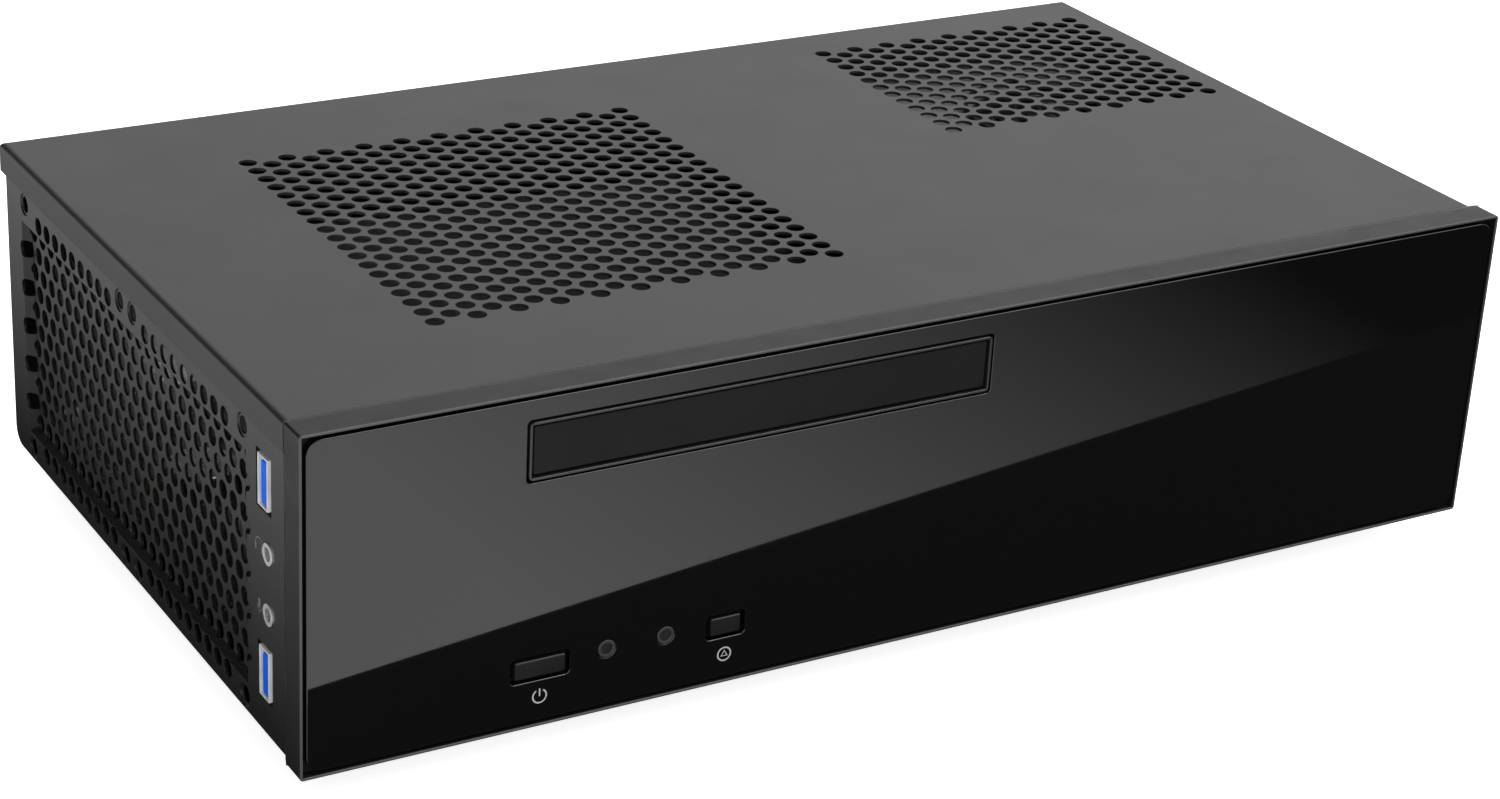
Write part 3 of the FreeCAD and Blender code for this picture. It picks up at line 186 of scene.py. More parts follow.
def bare_steel(name, shade, brushing, roughness=(0.28, 0.42)):
    """Zinc-plated sheet with rolling marks along one direction and faint spangle."""
    steel = Surface(name, (shade,) * 3, roughness[0], metallic=1.0)
    spangle = steel.cells(5 * MM)
    steel.color(steel.blend_colors(steel.ranged(spangle, 0.0, 1.0, 0.0, 0.7),
                                   (shade * 0.88, shade * 0.89, shade * 0.9), (shade * 1.05,) * 3))
    marks = steel.noise(0.6 * MM, 3, stretch=brushing)
    steel.roughness(steel.ranged(marks, *roughness))
    steel.soft_edges(0.15 * MM)
    steel.bump(marks, 0.01 * MM, 0.35)
    return steel.material


def moulded_plastic(name, color, roughness=(0.34, 0.46), grain=0.22 * MM, height=0.008 * MM,
                    edge=0.15 * MM, painted_highlight=0.0, front=None, **sockets):
    """Plastic from a spark-eroded mould, with handling marks in its sheen. Its edges can carry a
    painted highlight, a lighter colour, or just its foremost rim when that plane's place is given."""
    plastic = Surface(name, color, roughness[0], **sockets)
    tint = tuple(min(1.0, channel * 1.18 + 0.001) for channel in color)
    base = plastic.blend_colors(plastic.ranged(plastic.noise(30 * MM, 4), 0.0, 1.0), color, tint)
    if front is not None:
        split = plastic.add("ShaderNodeSeparateXYZ")
        plastic.link(plastic.place, split.inputs[0])
        # a lighter band at the very front: painted highlight along the rim
        light, plain = front + 0.25 * MM, front + 0.45 * MM
        rim = plastic.ranged(split.outputs["Y"], 1.0, 0.0, light, plain)
        plastic.color(plastic.blend_colors(rim, base, (painted_highlight,) * 3))
    elif painted_highlight:
        # lighter edges all round: painted highlight
        plastic.edge_wear_and_highlight(2 * edge, base, (painted_highlight,) * 3, 0.9, (0.8, 1.0))
    else:
        plastic.color(base)
    plastic.roughness(plastic.ranged(plastic.noise(9 * MM, 6), *roughness))
    plastic.soft_edges(edge)
    plastic.bump(plastic.noise(grain, 2), height, 0.5)
    return plastic.material


def gloss_acrylic(name):
    """Polished black acrylic: mirror-smooth, with the finest hairlines, a trace of dust and a
    painted highlight along its cut edges.
    """
    black, speck, edge = (0.0018, 0.0018, 0.002), (0.02, 0.02, 0.02), (0.09, 0.09, 0.09)
    acrylic = Surface(name, black, 0.02, IOR=1.49, Coat_Weight=0.25, Coat_Roughness=0.02)
    hairlines = acrylic.noise(0.4 * MM, 2, stretch=(1.0, 1.0, 0.03))
    acrylic.roughness(acrylic.ranged(hairlines, 0.015, 0.05, 0.35, 0.75))
    dust = acrylic.cells(6 * MM)
    base = acrylic.blend_colors(acrylic.ranged(dust, 1.0, 0.0, 0.012, 0.02), black, speck)
    # lighter cut edges: painted highlight
    acrylic.edge_wear_and_highlight(0.25 * MM, base, edge, 0.9, (0.8, 1.0))
    acrylic.bump(acrylic.noise(60 * MM, 1), 0.01 * MM, 0.2)
    return acrylic.material


def circuit_laminate(name, color, copper):
    """Solder mask over copper tracks: rectilinear tracks, plated dots and a glassy coat."""
    board = Surface(name, color, 0.35, Coat_Weight=0.3, Coat_Roughness=0.15)
    tracks = board.cells(3.2 * MM, distance="MANHATTAN", stretch=(1.0, 1.0, 0.05))
    lines = board.ranged(tracks, 0.0, 1.0, 0.46, 0.5)
    with_tracks = board.blend_colors(lines, color, tuple(channel * 1.9 for channel in color))
    dots = board.cells(2.1 * MM, stretch=(1.0, 1.0, 0.05))
    board.color(board.blend_colors(board.ranged(dots, 1.0, 0.0, 0.13, 0.16), with_tracks, copper))
    board.roughness(board.ranged(board.noise(15 * MM, 4), 0.28, 0.42))
    board.bump(lines, 0.02 * MM, 0.6)
    return board.material


def rubber(name):
    """Soft black rubber, a little dusty."""
    gum = Surface(name, (0.018, 0.018, 0.018), 0.8, Specular_IOR_Level=0.35)
    gum.color(gum.blend_colors(gum.ranged(gum.noise(6 * MM, 6), 0.0, 1.0, 0.45, 0.7),
                               (0.016, 0.016, 0.016), (0.035, 0.034, 0.032)))
    gum.roughness(gum.ranged(gum.noise(3 * MM, 4), 0.7, 0.9))
    gum.bump(gum.noise(0.5 * MM, 3), 0.03 * MM, 0.6)
    return gum.material


def plated_metal(name, color, roughness=(0.12, 0.26), size=1.2 * MM, metallic=1.0):
    """Turned or drawn metal with a bright plating and fine tool marks."""
    metal = Surface(name, color, roughness[0], metallic=metallic)
    dull = tuple(channel * 0.82 for channel in color)
    metal.color(metal.blend_colors(metal.ranged(metal.noise(4 * MM, 4), 0.0, 1.0), dull, color))
    metal.roughness(metal.ranged(metal.noise(size, 4), *roughness))
    metal.soft_edges(0.12 * MM)
    metal.bump(metal.noise(size, 3), 0.006 * MM, 0.4)
    return metal.material


def finned_aluminium(name):
    """Extruded aluminium: fine draw lines up the fins."""
    metal = Surface(name, (0.78, 0.79, 0.8), 0.3, metallic=1.0)
    lines = metal.noise(0.5 * MM, 3, stretch=(1.0, 1.0, 0.04))
    metal.color(metal.blend_colors(metal.ranged(lines, 0.0, 1.0), (0.66, 0.67, 0.68),
                                   (0.84, 0.85, 0.86)))
    metal.roughness(metal.ranged(lines, 0.24, 0.42))
    metal.bump(lines, 0.015 * MM, 0.4)
    return metal.material


def smoked_lens(name):
    """Dark clear plastic of an indicator lamp that is off."""
    lens = Surface(name, (0.012, 0.012, 0.013), 0.12, IOR=1.55, Coat_Weight=0.3)
    rings = lens.noise(2.4 * MM, 2)
    lens.color(lens.blend_colors(lens.ranged(rings, 0.0, 1.0), (0.011, 0.011, 0.012),
                                 (0.016, 0.016, 0.017)))
    lens.roughness(lens.ranged(rings, 0.08, 0.2))
    return lens.material


def printed_ink(name, shade):
    """Pad-printed ink: flat, slightly uneven at its edges."""
    ink = Surface(name, (shade,) * 3, 0.45)
    ink.color(ink.blend_colors(ink.ranged(ink.noise(0.35 * MM, 3), 0.0, 1.0, 0.3, 0.7),
                               (shade * 0.9,) * 3, (min(1.0, shade * 1.06),) * 3))
    ink.roughness(ink.ranged(ink.noise(0.6 * MM, 2), 0.4, 0.55))
    return ink.material


def braided_sleeve(name):
    """Woven black sleeve round a bundle of wires."""
    sleeve = Surface(name, (0.02, 0.02, 0.02), 0.6, Sheen_Weight=0.3, Sheen_Roughness=0.4)
    weave = sleeve.cells(1.3 * MM, feature="DISTANCE_TO_EDGE", stretch=(1.0, 1.0, 1.6))
    sleeve.color(sleeve.blend_colors(sleeve.ranged(weave, 0.0, 1.0, 0.0, 0.2),
                                     (0.006, 0.006, 0.006), (0.032, 0.032, 0.033)))
    sleeve.roughness(sleeve.ranged(weave, 0.5, 0.75, 0.0, 0.3))
    sleeve.bump(weave, 0.3 * MM, 0.8)
    return sleeve.material


def varnished_winding(name):
    """Transformer: copper turns under yellow tape and varnish."""
    winding = Surface(name, (0.5, 0.36, 0.08), 0.4, Coat_Weight=0.4)
    turns = winding.noise(1.0 * MM, 1, stretch=(0.05, 0.05, 1.0))
    winding.color(winding.blend_colors(winding.ranged(turns, 0.0, 1.0), (0.42, 0.3, 0.06),
                                       (0.6, 0.44, 0.1)))
    winding.roughness(winding.ranged(turns, 0.3, 0.5))
    winding.bump(turns, 0.1 * MM, 0.5)
    return winding.material


# Colours are linear. A pair of numbers is the lowest and the highest roughness.
LIBRARY = {
    # The cover's and sides' high edge factors paint a highlight round their vent holes.
    "cover_coat": powder_coat("cover_coat", 0.012, (0.37, 0.41), rub_and_highlight=7.0),
    # The side panels' coat is darker than the cover's: painted shade for the sides, turned away from
    # the lights.
    "side_coat_painted_shade": powder_coat("side_coat_painted_shade", 0.007, (0.22, 0.27), rub_and_highlight=9.0),
    "chassis_coat": powder_coat("chassis_coat", 0.01),
    # The drive's shell is near black: painted shade for the dim inside seen through the vents.
    "drive_coat_painted_shade": powder_coat("drive_coat_painted_shade", 0.006, (0.5, 0.62), Specular_IOR_Level=0.15),
    "supply_coat": powder_coat("supply_coat", 0.16, (0.5, 0.62)),
    "zinc_sheet": bare_steel("zinc_sheet", 0.55, (0.03, 1.0, 1.0)),
    "zinc_bracket": bare_steel("zinc_bracket", 0.2, (1.0, 0.03, 1.0), (0.45, 0.6)),
    "cast_case": plated_metal("cast_case", (0.3, 0.3, 0.31), (0.5, 0.65)),
    "acrylic": gloss_acrylic("acrylic"),
    # The bezel's front rim and the buttons' edges get a painted highlight.
    "bezel_plastic": moulded_plastic("bezel_plastic", (0.008, 0.008, 0.0082), (0.3, 0.4),
                                     painted_highlight=0.06, front=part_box("front_bezel")[0].y,
                                     Specular_IOR_Level=0.22),
    "frame_plastic": moulded_plastic("frame_plastic", (0.01, 0.01, 0.0102), (0.16, 0.26)),
    "door_plastic": moulded_plastic("door_plastic", (0.006, 0.006, 0.0062), (0.5, 0.62),
                                    Specular_IOR_Level=0.14),
    "button_plastic": moulded_plastic("button_plastic", (0.006, 0.006, 0.0062), (0.28, 0.38),
                                      painted_highlight=0.12, Specular_IOR_Level=0.3),
    "connector_plastic": moulded_plastic("connector_plastic", (0.02, 0.02, 0.02), (0.4, 0.55)),
    "fan_plastic": moulded_plastic("fan_plastic", (0.016, 0.016, 0.017), (0.35, 0.5)),
    "tray_plastic": moulded_plastic("tray_plastic", (0.05, 0.05, 0.052), (0.4, 0.52)),
    "blue_insulator": moulded_plastic("blue_insulator", (0.002, 0.13, 0.85), (0.4, 0.5),
                                      Specular_IOR_Level=0.12),
    "clear_epoxy": moulded_plastic("clear_epoxy", (0.6, 0.65, 0.7), (0.1, 0.2)),
    "smoked_lens": smoked_lens("smoked_lens"),
    "foot_rubber": rubber("foot_rubber"),
    "black_screw": plated_metal("black_screw", (0.05, 0.05, 0.052), (0.3, 0.45)),
    "zinc_screw": plated_metal("zinc_screw", (0.62, 0.62, 0.64), (0.2, 0.36)),
    "bright_shell": plated_metal("bright_shell", (0.96, 0.96, 0.96), (0.34, 0.44)),
    "matte_tin": plated_metal("matte_tin", (0.9, 0.9, 0.9), (0.45, 0.6), metallic=0.25),
    "gold_contact": plated_metal("gold_contact", (0.85, 0.6, 0.22), (0.12, 0.22)),
    "brass": plated_metal("brass", (0.75, 0.55, 0.25), (0.15, 0.3)),
    "aluminium": finned_aluminium("aluminium"),
    "green_board": circuit_laminate("green_board", (0.006, 0.045, 0.022), (0.7, 0.5, 0.2)),
    "black_board": circuit_laminate("black_board", (0.008, 0.009, 0.011), (0.6, 0.45, 0.2)),
    "sleeve": braided_sleeve("sleeve"),
    "winding": varnished_winding("winding"),
    "can_sleeve": moulded_plastic("can_sleeve", (0.012, 0.016, 0.05), (0.2, 0.3)),
    "light_print": printed_ink("light_print", 0.42),
    "faint_print": printed_ink("faint_print", 0.16),
    "lamp_rim": moulded_plastic("lamp_rim", (0.025, 0.025, 0.026), (0.25, 0.35)),
    "chip_epoxy": moulded_plastic("chip_epoxy", (0.015, 0.015, 0.016), (0.4, 0.55)),
    "choke_case": moulded_plastic("choke_case", (0.06, 0.06, 0.065), (0.45, 0.6)),
}

# Which CAD nodes wear each material.
NODE_MATERIALS = {
    "cover_coat": ["top_cover"],
    "side_coat_painted_shade": ["left_side_panel", "right_side_panel"],
    "chassis_coat": ["chassis_base", "front_wall", "rear_panel"],
    "drive_coat_painted_shade": ["optical_drive_shell"],
    "supply_coat": ["psu_lower_shell", "psu_upper_shell"],
    "zinc_sheet": ["io_shield", "processor_socket", "laser_sled"],
    "zinc_bracket": ["drive_bracket"],
    "acrylic": ["front_panel"],
    "bezel_plastic": ["front_bezel"],
    "frame_plastic": ["drive_slot_frame"],
    "door_plastic": ["tray_door"],
    "button_plastic": ["power_button", "reset_button"],
    "connector_plastic": ["tactile_switches", "rear_audio_ports", "memory_slots", "power_connector",
                          "ac_inlet", "psu_switch_frame", "psu_switch_rocker"],
    "fan_plastic": ["cooler_fan_frame", "cooler_fan_rotor", "psu_fan_frame", "psu_fan_rotor"],
    "tray_plastic": ["optical_tray"],
    "blue_insulator": ["usb_tongues"],
    "clear_epoxy": ["indicator_leds"],
    "smoked_lens": ["led_light_pipes"],
    "foot_rubber": ["feet"],
    "black_screw": ["cover_screws", "psu_screws", "psu_fan_guard"],
    "zinc_screw": ["foot_screws", "bezel_screws", "board_screws"],
    "matte_tin": ["usb_shells"],
    "bright_shell": ["audio_jacks", "disc_spindle", "rear_usb_ports", "lan_port",
                     "video_port", "ac_inlet_pins"],
    "brass": ["standoffs"],
    "aluminium": ["cpu_heatsink", "chipset_heatsink"],
    "cast_case": ["storage_drive"],
    "green_board": ["button_board", "side_port_board", "psu_board"],
    "black_board": ["motherboard", "memory_modules"],
    "sleeve": ["power_cable"],
    "winding": ["psu_transformer"],
    "can_sleeve": ["psu_capacitors"],
}


def dress_nodes():
    for material, names in NODE_MATERIALS.items():
        for name in names:
            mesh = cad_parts[name].data
            mesh.materials.clear()
            mesh.materials.append(LIBRARY[material])


dress_nodes()


# ---------------------------------------------------------------- details on the CAD parts

def mesh_object(name, vertices, faces):
    mesh = bpy.data.meshes.new(name)
    mesh.from_pydata([tuple(vertex) for vertex in vertices], [], faces)
    mesh.update()
    item = bpy.data.objects.new(name, mesh)
    bpy.context.scene.collection.objects.link(item)
    return item


class Pile:
    """Many small shapes gathered into one mesh, each with its own material."""

    def __init__(self):
        self.vertices, self.faces, self.looks, self.palette = [], [], [], []

    def add(self, vertices, faces, material):
        if material not in self.palette:
            self.palette.append(material)
        start = len(self.vertices)
        self.vertices += [tuple(vertex) for vertex in vertices]
        self.faces += [tuple(start + corner for corner in face) for face in faces]
        self.looks += [self.palette.index(material)] * len(faces)

    def prism(self, outline, base, top, material, across=None):
        """An upright solid on a closed outline. Across turns (x, y, z) into its real place."""
        count = len(outline)
        corners = [(x, y, level) for level in (base, top) for x, y in outline]
        faces = [tuple(range(count))[::-1], tuple(range(count, 2 * count))]
        faces += [(i, (i + 1) % count, count + (i + 1) % count, count + i) for i in range(count)]
        self.add([across(*corner) for corner in corners] if across else corners, faces, material)

    def lathe(self, centre, profile, steps, material, across=None):
        """Turns a profile of (radius, height) points round an upright line."""
        rows = len(profile)
        points = []
        for step in range(steps):
            turn = math.tau * step / steps
            points += [(centre[0] + radius * math.cos(turn), centre[1] + radius * math.sin(turn),
                        height) for radius, height in profile]
        faces = []
        for step in range(steps):
            here, there = step * rows, (step + 1) % steps * rows
            for row in range(rows - 1):
                faces.append((here + row, there + row, there + row + 1, here + row + 1))
        self.add([across(*point) for point in points] if across else points, faces, material)

    def stroke(self, path, width, material, across, closed=False):
        """A flat printed line along a path."""
        count = len(path)
        corners = []
        for index, point in enumerate(path):
            before = path[index - 1] if closed or index else point
            after = path[(index + 1) % count] if closed or index < count - 1 else point
            along = (Vector(after) - Vector(before)).normalized()
            side = Vector((-along.y, along.x)) * (width / 2)
            corners += [Vector(point) + side, Vector(point) - side]
        faces = []
        for index in range(count if closed else count - 1):
            left, following = 2 * index, 2 * ((index + 1) % count)
            faces.append((left + 1, following + 1, following, left))
        self.add([across(*corner) for corner in corners], faces, material)

    def finish(self, name, body):
        item = mesh_object(name, self.vertices, self.faces)
        for material in self.palette:
            item.data.materials.append(LIBRARY[material])
        for face, look in zip(item.data.polygons, self.looks):
            face.material_index = look
        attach(item, body)


def arc(centre, radius, start, end, steps=40):
    """Points on a circle from one angle to another, in degrees."""
    angles = [math.radians(start + (end - start) * step / steps) for step in range(steps + 1)]
    return [(centre[0] + radius * math.cos(angle), centre[1] + radius * math.sin(angle))
            for angle in angles]


def rounded(x, y, half_x, half_y, corner):
    """A rectangle with cut corners round a centre, counter-clockwise."""
    a, b, c = half_x, half_y, corner
    return [(x + i, y + j) for i, j in ((-a + c, -b), (a - c, -b), (a, -b + c), (a, b - c),
                                        (a - c, b), (-a + c, b), (-a, b - c), (-a, -b + c))]


def print_front_symbols():
    """The usual power sign and a ringed triangle under the two buttons."""
    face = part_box("front_panel")[0].y - PRINT_PROUD
    radius = 1.8 * MM
    line = 0.4 * MM
    half_gap = 32                       # of the power sign's ring, in degrees either side of its top

    def across(u, v):
        return (u, face, v)

    marks = Pile()
    low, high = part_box("power_button")
    middle = ((low.x + high.x) / 2, low.z - 4.4 * MM)
    ring = arc(middle, radius, 90 + half_gap, 450 - half_gap)
    marks.stroke(ring, line, "light_print", across)
    marks.stroke([middle, (middle[0], middle[1] + radius * 1.15)], line, "light_print", across)
    low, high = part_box("reset_button")
    middle = ((low.x + high.x) / 2, low.z - 4.6 * MM)
    marks.stroke(arc(middle, radius, 0, 360)[:-1], line, "light_print", across, closed=True)
    marks.stroke(arc(middle, radius * 0.55, 90, 450, 3)[:-1], line, "light_print", across,
                 closed=True)
    marks.finish("front_symbols", "case")


def print_side_symbols():
    """Faint headphone and microphone signs in front of the two audio sockets."""
    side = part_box("left_side_panel")[0].x - PRINT_PROUD
    low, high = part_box("audio_jacks")
    along = low.y + 9.0 * MM
    socket = 3.5 * MM                   # outer radius of a sound socket

    def across(u, v):
        return (side, along - u, v)

    marks = Pile()
    level = high.z - socket
    band = 1.9 * MM                     # radius of the headband
    marks.stroke(arc((0, level), band, 0, 180, 24), 0.35 * MM, "faint_print", across)
    for end in (-band, band):
        cushion = [(end, level + 0.1 * MM), (end, level - 1.7 * MM)]
        marks.stroke(cushion, 0.8 * MM, "faint_print", across)
    level = low.z + socket
    cup, line = 1.35 * MM, 0.3 * MM     # the microphone's holder and its line width
    marks.stroke([(0, level - 0.6 * MM), (0, level + 1.9 * MM)], 1.2 * MM, "faint_print", across)
    marks.stroke(arc((0, level), cup, 180, 360, 20), line, "faint_print", across)
    marks.stroke([(0, level - cup), (0, level - 2.1 * MM)], line, "faint_print", across)
    marks.finish("side_symbols", "case")


def add_lamp_rims():
    """A low clear collar round each of the two indicator lenses."""
    low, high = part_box("led_light_pipes")
    radius = (high.z - low.z) / 2
    level = (low.z + high.z) / 2
    proud = 0.08 * MM
    collar = [(0.68 * radius, 0), (0.74 * radius, proud), (0.96 * radius, proud),
              (1.03 * radius, 0), (1.03 * radius, -0.05 * MM)]
    rims = Pile()
    for x in (low.x + radius, high.x - radius):
        rims.lathe((0, 0), collar, 40, "lamp_rim",
                   across=lambda u, v, w, x=x: (x + u, low.y - w, level + v))
    rims.finish("lamp_rims", "case")


def add_usb_details():
    """The rounded lip of each USB socket's tongue, and four gold contacts behind it."""
    low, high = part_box("usb_tongues")
    face = high.y
    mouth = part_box("usb_shells")[0].x
    half_tall = 5.5 * MM                # half the height of one tongue
    half_thick = 1.75 * MM
    tips = Pile()
    for middle in (low.z + half_tall, high.z - half_tall):
        lip = rounded(low.y + 0.75 * MM, middle, half_thick, half_tall, 0.4 * MM)
        tips.prism(lip, mouth + 0.1 * MM, low.x, "blue_insulator", lambda u, v, w: (w, u, v))
        for shift in (-3.5, -1.0, 1.0, 3.5):
            contact = rounded(low.x + 4.8 * MM, middle + shift * MM, 3.6 * MM, 0.5 * MM, 0.2 * MM)
            tips.prism(contact, 0, 0.05 * MM, "gold_contact", lambda u, v, w: (u, face + w, v))
    tips.finish("usb_tongue_tips", "case")


def add_sled_lens():
    """The reading lens on the laser sled, in its round cup."""
    low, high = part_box("laser_sled")
    centre = ((low.x + high.x) / 2, (low.y + high.y) / 2)
    outer, glass = 4.0 * MM, 3.1 * MM   # radii of the cup and of the lens in it
    seat, rim = 0.2 * MM, 0.5 * MM      # heights of the lens's edge and of the cup over the sled
    cup = [(outer, 0), (outer, rim), (3.3 * MM, rim), (glass, seat)]
    dome = [(glass * math.cos(math.radians(turn)), seat + 0.5 * MM * math.sin(math.radians(turn)))
            for turn in (0, 25, 50, 75, 90)]
    lens = Pile()

    def across(x, y, z):
        return (x, y, high.z + z)

    lens.lathe(centre, cup, 36, "chip_epoxy", across=across)
    lens.lathe(centre, dome, 36, "smoked_lens", across=across)
    lens.finish("sled_lens", "sled")


def add_board_parts():
    """Chokes, capacitors, chips, a coin cell and pin headers on the free parts of the board.
    Places are in millimetres from the board's front left corner, and heights from its top."""
    corner, board_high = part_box("motherboard")
    top = board_high.z
    parts = Pile()

    def spot(x, y):
        return (corner.x + x * MM, corner.y + y * MM)

    def turned(x, y, profile, steps, material):
        parts.lathe(spot(x, y), [(radius * MM, top + height * MM) for radius, height in profile],
                    steps, material)

    def can(x, y, radius, height):
        neck = 0.93 * radius
        turned(x, y, [(radius, 0), (radius, 0.8 * height), (neck, 0.83 * height),
                      (radius, 0.86 * height), (radius, height)], 20, "can_sleeve")
        turned(x, y, [(radius, height), (0.85 * radius, height + 0.1), (0, height + 0.05)], 20,
               "zinc_screw")

    def slab(x, y, half_x, half_y, height, material, cut=0.3, base=0.0):
        outline = rounded(*spot(x, y), half_x * MM, half_y * MM, cut * MM)
        parts.prism(outline, top + base * MM, top + (base + height) * MM, material)

    for index in range(6):
        x = 69 + 11.5 * index
        slab(x, 138, 4, 4, 4.5, "choke_case", 1.0)
        can(x + 5.5, 147, 2.9, 7)
    for index in range(5):
        can(152 + 5 * (index % 2), 95 + 9 * index, 2.5, 6)

    for x, y, half in ((25, 143, 3.5), (39, 133, 3), (10, 131, 5), (39, 91, 2.6), (157, 141, 2.5)):
        slab(x, y, half, half, 1.1, "chip_epoxy", 0.2)
        for index in range(int(half * 2)):
            step = -half + 0.6 + index
            for shift in (-half - 0.4, half + 0.4):
                slab(x + step, y + shift, 0.2, 0.6, 0.3, "zinc_screw", 0.05)
                slab(x + shift, y + step, 0.6, 0.2, 0.3, "zinc_screw", 0.05)

    cell = (25, 111)
    holder, coin = 11.5, 10.1           # radii of the cell's holder and of the cell
    turned(*cell, [(holder, 0), (holder, 3), (10.3, 3), (10.3, 2)], 48, "chip_epoxy")
    turned(*cell, [(coin, 2), (coin, 3.9), (coin - 0.5, 4.2), (0, 4.2)], 48, "zinc_screw")

    pitch = 2.54
    for middle in (47, 72, 105, 132):
        slab(middle, 5, 6.4, 2.6, 2.5, "chip_epoxy", 0.2)
        for index in range(10):
            column, row = divmod(index, 2)
            slab(middle - 5.1 + pitch * column, 3.7 + pitch * row, 0.32, 0.32, 6, "gold_contact",
                 0.1, 2.5)
    for y in (87, 97):
        slab(6, y, 4, 3.5, 8, "chip_epoxy", 0.5)
        slab(6, y, 3, 0.6, 0.6, "gold_contact", 0.1, 8)
    parts.finish("board_parts", "case")


print_front_symbols()
print_side_symbols()
add_lamp_rims()
add_usb_details()
add_sled_lens()
add_board_parts()


# ---------------------------------------------------------------- camera and studio

def add_camera():
    """Looks down on the front left corner, from near enough for a strong perspective."""
    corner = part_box("front_bezel")[0]
    place = Matrix.Translation(corner + Vector((-0.2647, -0.6234, 0.4069)))
    turn = Matrix.Rotation(math.radians(-31.419), 4, "Z")
    tilt = Matrix.Rotation(math.radians(65.666), 4, "X")        # up from straight down
    roll = Matrix.Rotation(math.radians(3.261), 4, "Z")         # about its own axis
    camera = bpy.data.cameras.new("camera")
    camera.sensor_width = 36
    camera.lens = 80.5
    holder = bpy.data.objects.new("camera", camera)
    bpy.context.scene.collection.objects.link(holder)
    holder.matrix_world = place @ turn @ tilt @ roll
    bpy.context.scene.camera = holder


def remap(tree, source, span, result, smooth=False):
    """A value that follows the source over a span, and stays level outside it."""
    item = tree.nodes.new("ShaderNodeMapRange")
    item.clamp = True
    item.interpolation_type = "SMOOTHSTEP" if smooth else "LINEAR"
    for key, value in (("From Min", span[0]), ("From Max", span[1]), ("To Min", result[0]),
                       ("To Max", result[1])):
        item.inputs[key].default_value = value
    tree.links.new(source, item.inputs["Value"])
    return item.outputs["Result"]


def emitting(name, strength, fades_to=None, span=(0.0, 1.0), curve=1.0):
    """A glowing card. Its strength can fade along X, over a span, to another value."""
    material = bpy.data.materials.new(name)
    material.use_nodes = True
    material.cycles.emission_sampling = "NONE"
    tree = material.node_tree
    tree.nodes.clear()
    glow = tree.nodes.new("ShaderNodeEmission")
    glow.inputs["Strength"].default_value = strength
    output = tree.nodes.new("ShaderNodeOutputMaterial")
    tree.links.new(glow.outputs["Emission"], output.inputs["Surface"])
    if fades_to is not None:
        place = tree.nodes.new("ShaderNodeTexCoord")
        split = tree.nodes.new("ShaderNodeSeparateXYZ")
        left = remap(tree, split.outputs["X"], span, (1.0, 0.0))
        bend = tree.nodes.new("ShaderNodeMath")
        bend.operation = "POWER"
        bend.inputs[1].default_value = curve
        tree.links.new(place.outputs["Object"], split.inputs[0])
        tree.links.new(left, bend.inputs[0])
        tree.links.new(remap(tree, bend.outputs[0], (0.0, 1.0), (fades_to, strength)),
                       glow.inputs["Strength"])
    return material


def flat_sheet(name, corners, height, material):
    """A flat stage sheet; its corners go round counter-clockwise."""
    sheet = mesh_object(name, [(x, y, height) for x, y in corners], [tuple(range(len(corners)))])
    sheet.data.materials.append(material)
    return sheet


def rectangle(left, front, right, back):
    return [(left, front), (right, front), (right, back), (left, back)]


def add_floor():
    """Pale paper for the eye. What the object mirrors of the floor are the cards laid under it:
    a dark sheet close round the case, painted shade for the floor's shadow beside it, lit sheets
    in front of it and beside it, the side one dimming towards the case as painted shadow, and the
    pale room beyond. The dark sheet's front edge slants, which is the line across the glossy front."""
    reach = 20.0
    paper = Surface("paper", (0.86, 0.86, 0.86), 0.9, Specular_IOR_Level=0.1, Emission_Strength=0.8,
                    Emission_Color=(1.0, 1.0, 1.0, 1.0))
    floor = flat_sheet("floor", rectangle(-reach, -reach, reach, reach), 0, paper.material)
    floor.visible_diffuse = floor.visible_glossy = floor.visible_shadow = False

    low, high = cad_box
    room = flat_sheet("room_card", rectangle(-reach, -reach, reach, reach), -4 * MM,
                      emitting("room_glow", 0.9))
    # the side sheet dims towards the case: painted shadow of the case on the floor, as its side
    # mirrors it
    fade = (low.x - 0.09, low.x - 0.005)
    side = flat_sheet("side_card", rectangle(low.x - 0.14, low.y - 0.03, low.x, high.y + 0.4), -3 * MM,
                      emitting("side_glow", 0.75, 0.045, fade, 1.4))
    fade = (low.x + 0.095, high.x + 0.095)
    lit = flat_sheet("lit_card", rectangle(low.x - 0.3, low.y - 0.6, high.x + 0.6, low.y), -2 * MM,
                     emitting("lit_glow", 1.5, 0.03, fade, 1.25))

    slant = 0.1565                      # the dark sheet's front edge comes this far forward per metre of X
    start, ahead = low.x + 0.027, 0.0577    # where it is measured, and how far ahead of the case
    near, far = low.x - 0.01, high.x + 0.5

    def edge(x):
        return (x, low.y - ahead - slant * (x - start))

    # a dark sheet round the case: painted shade for the floor's shadow round it, as the case mirrors
    # it
    shade_sheet = flat_sheet("painted_shade_table", [edge(near), edge(far), (far, high.y + 0.06),
                                      (near, high.y + 0.06)], -1 * MM, emitting("painted_shade_glow", 0.045))
    for sheet in (room, side, lit, shade_sheet):
        sheet.visible_camera = sheet.visible_shadow = sheet.visible_transmission = False


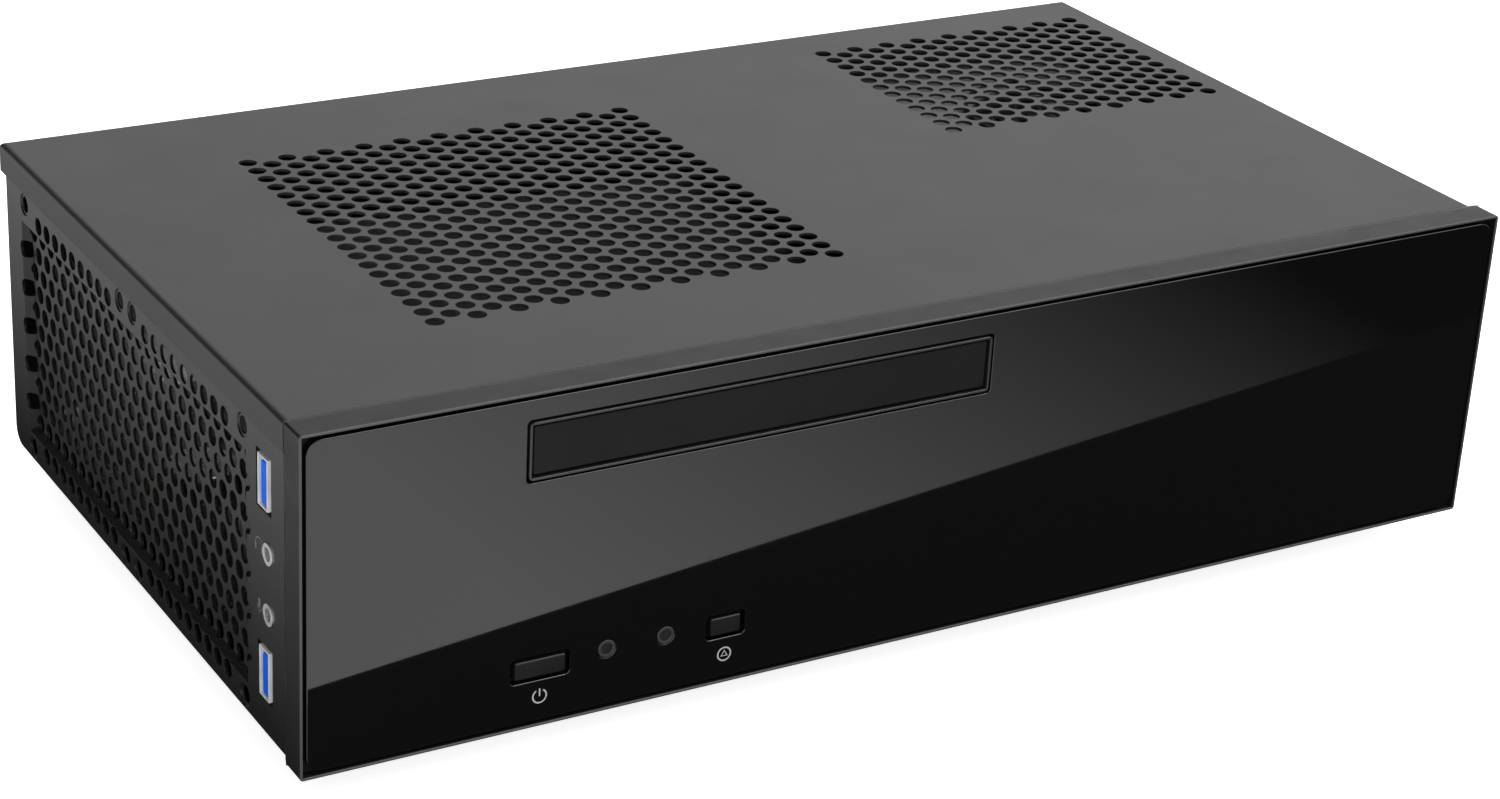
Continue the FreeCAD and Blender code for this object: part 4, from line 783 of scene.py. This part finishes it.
def add_softbox(name, place, target, width, height, power):
    """A soft rectangular light of so many watts, turned to face the target."""
    light = bpy.data.lights.new(name, "AREA")
    light.shape = "RECTANGLE"
    light.size = width
    light.size_y = height
    light.energy = power
    holder = bpy.data.objects.new(name, light)
    holder.location = place
    holder.rotation_euler = (Vector(target) - Vector(place)).to_track_quat("-Z", "Y").to_euler()
    bpy.context.scene.collection.objects.link(holder)


def add_world(bright, dim):
    """A room with a bright wall on the right and a dim one on the left, itself seen as white."""
    world = bpy.data.worlds.new("studio")
    world.use_nodes = True
    tree = world.node_tree
    room = tree.nodes["Background"]
    white = tree.nodes.new("ShaderNodeBackground")
    for background in (room, white):
        background.inputs["Color"].default_value = (1.0, 1.0, 1.0, 1.0)
    place = tree.nodes.new("ShaderNodeTexCoord")
    split = tree.nodes.new("ShaderNodeSeparateXYZ")
    tree.links.new(place.outputs["Generated"], split.inputs[0])
    walls = remap(tree, split.outputs["X"], (-0.3, 0.08), (dim, bright), smooth=True)
    falloff = remap(tree, split.outputs["X"], (0.2, 0.6), (0.78, 1.0))  # dimmer off straight right
    both = tree.nodes.new("ShaderNodeMath")
    both.operation = "MULTIPLY"
    tree.links.new(walls, both.inputs[0])
    tree.links.new(falloff, both.inputs[1])
    tree.links.new(both.outputs[0], room.inputs["Strength"])
    ray = tree.nodes.new("ShaderNodeLightPath")
    either = tree.nodes.new("ShaderNodeMixShader")
    tree.links.new(ray.outputs["Is Camera Ray"], either.inputs[0])
    tree.links.new(room.outputs[0], either.inputs[1])
    tree.links.new(white.outputs[0], either.inputs[2])
    tree.links.new(either.outputs[0], tree.nodes["World Output"].inputs["Surface"])
    bpy.context.scene.world = world


bpy.context.scene.view_settings.view_transform = "Standard"
add_camera()
add_floor()
add_world(bright=0.97, dim=0.04)
add_softbox("overhead", place=(0.3, -0.1, 1.6), target=(0, 0, 0), width=1.8, height=1.8, power=15)
add_softbox("edge_light", place=(1.0, -0.92, 1.65), target=(0, -0.1, 0.09), width=1.5, height=1.0,
            power=22)
add_softbox("front_fill", place=(-1.0, -1.2, 0.7), target=(-0.17, -0.08, 0.05), width=1.4,
            height=1.4, power=14)
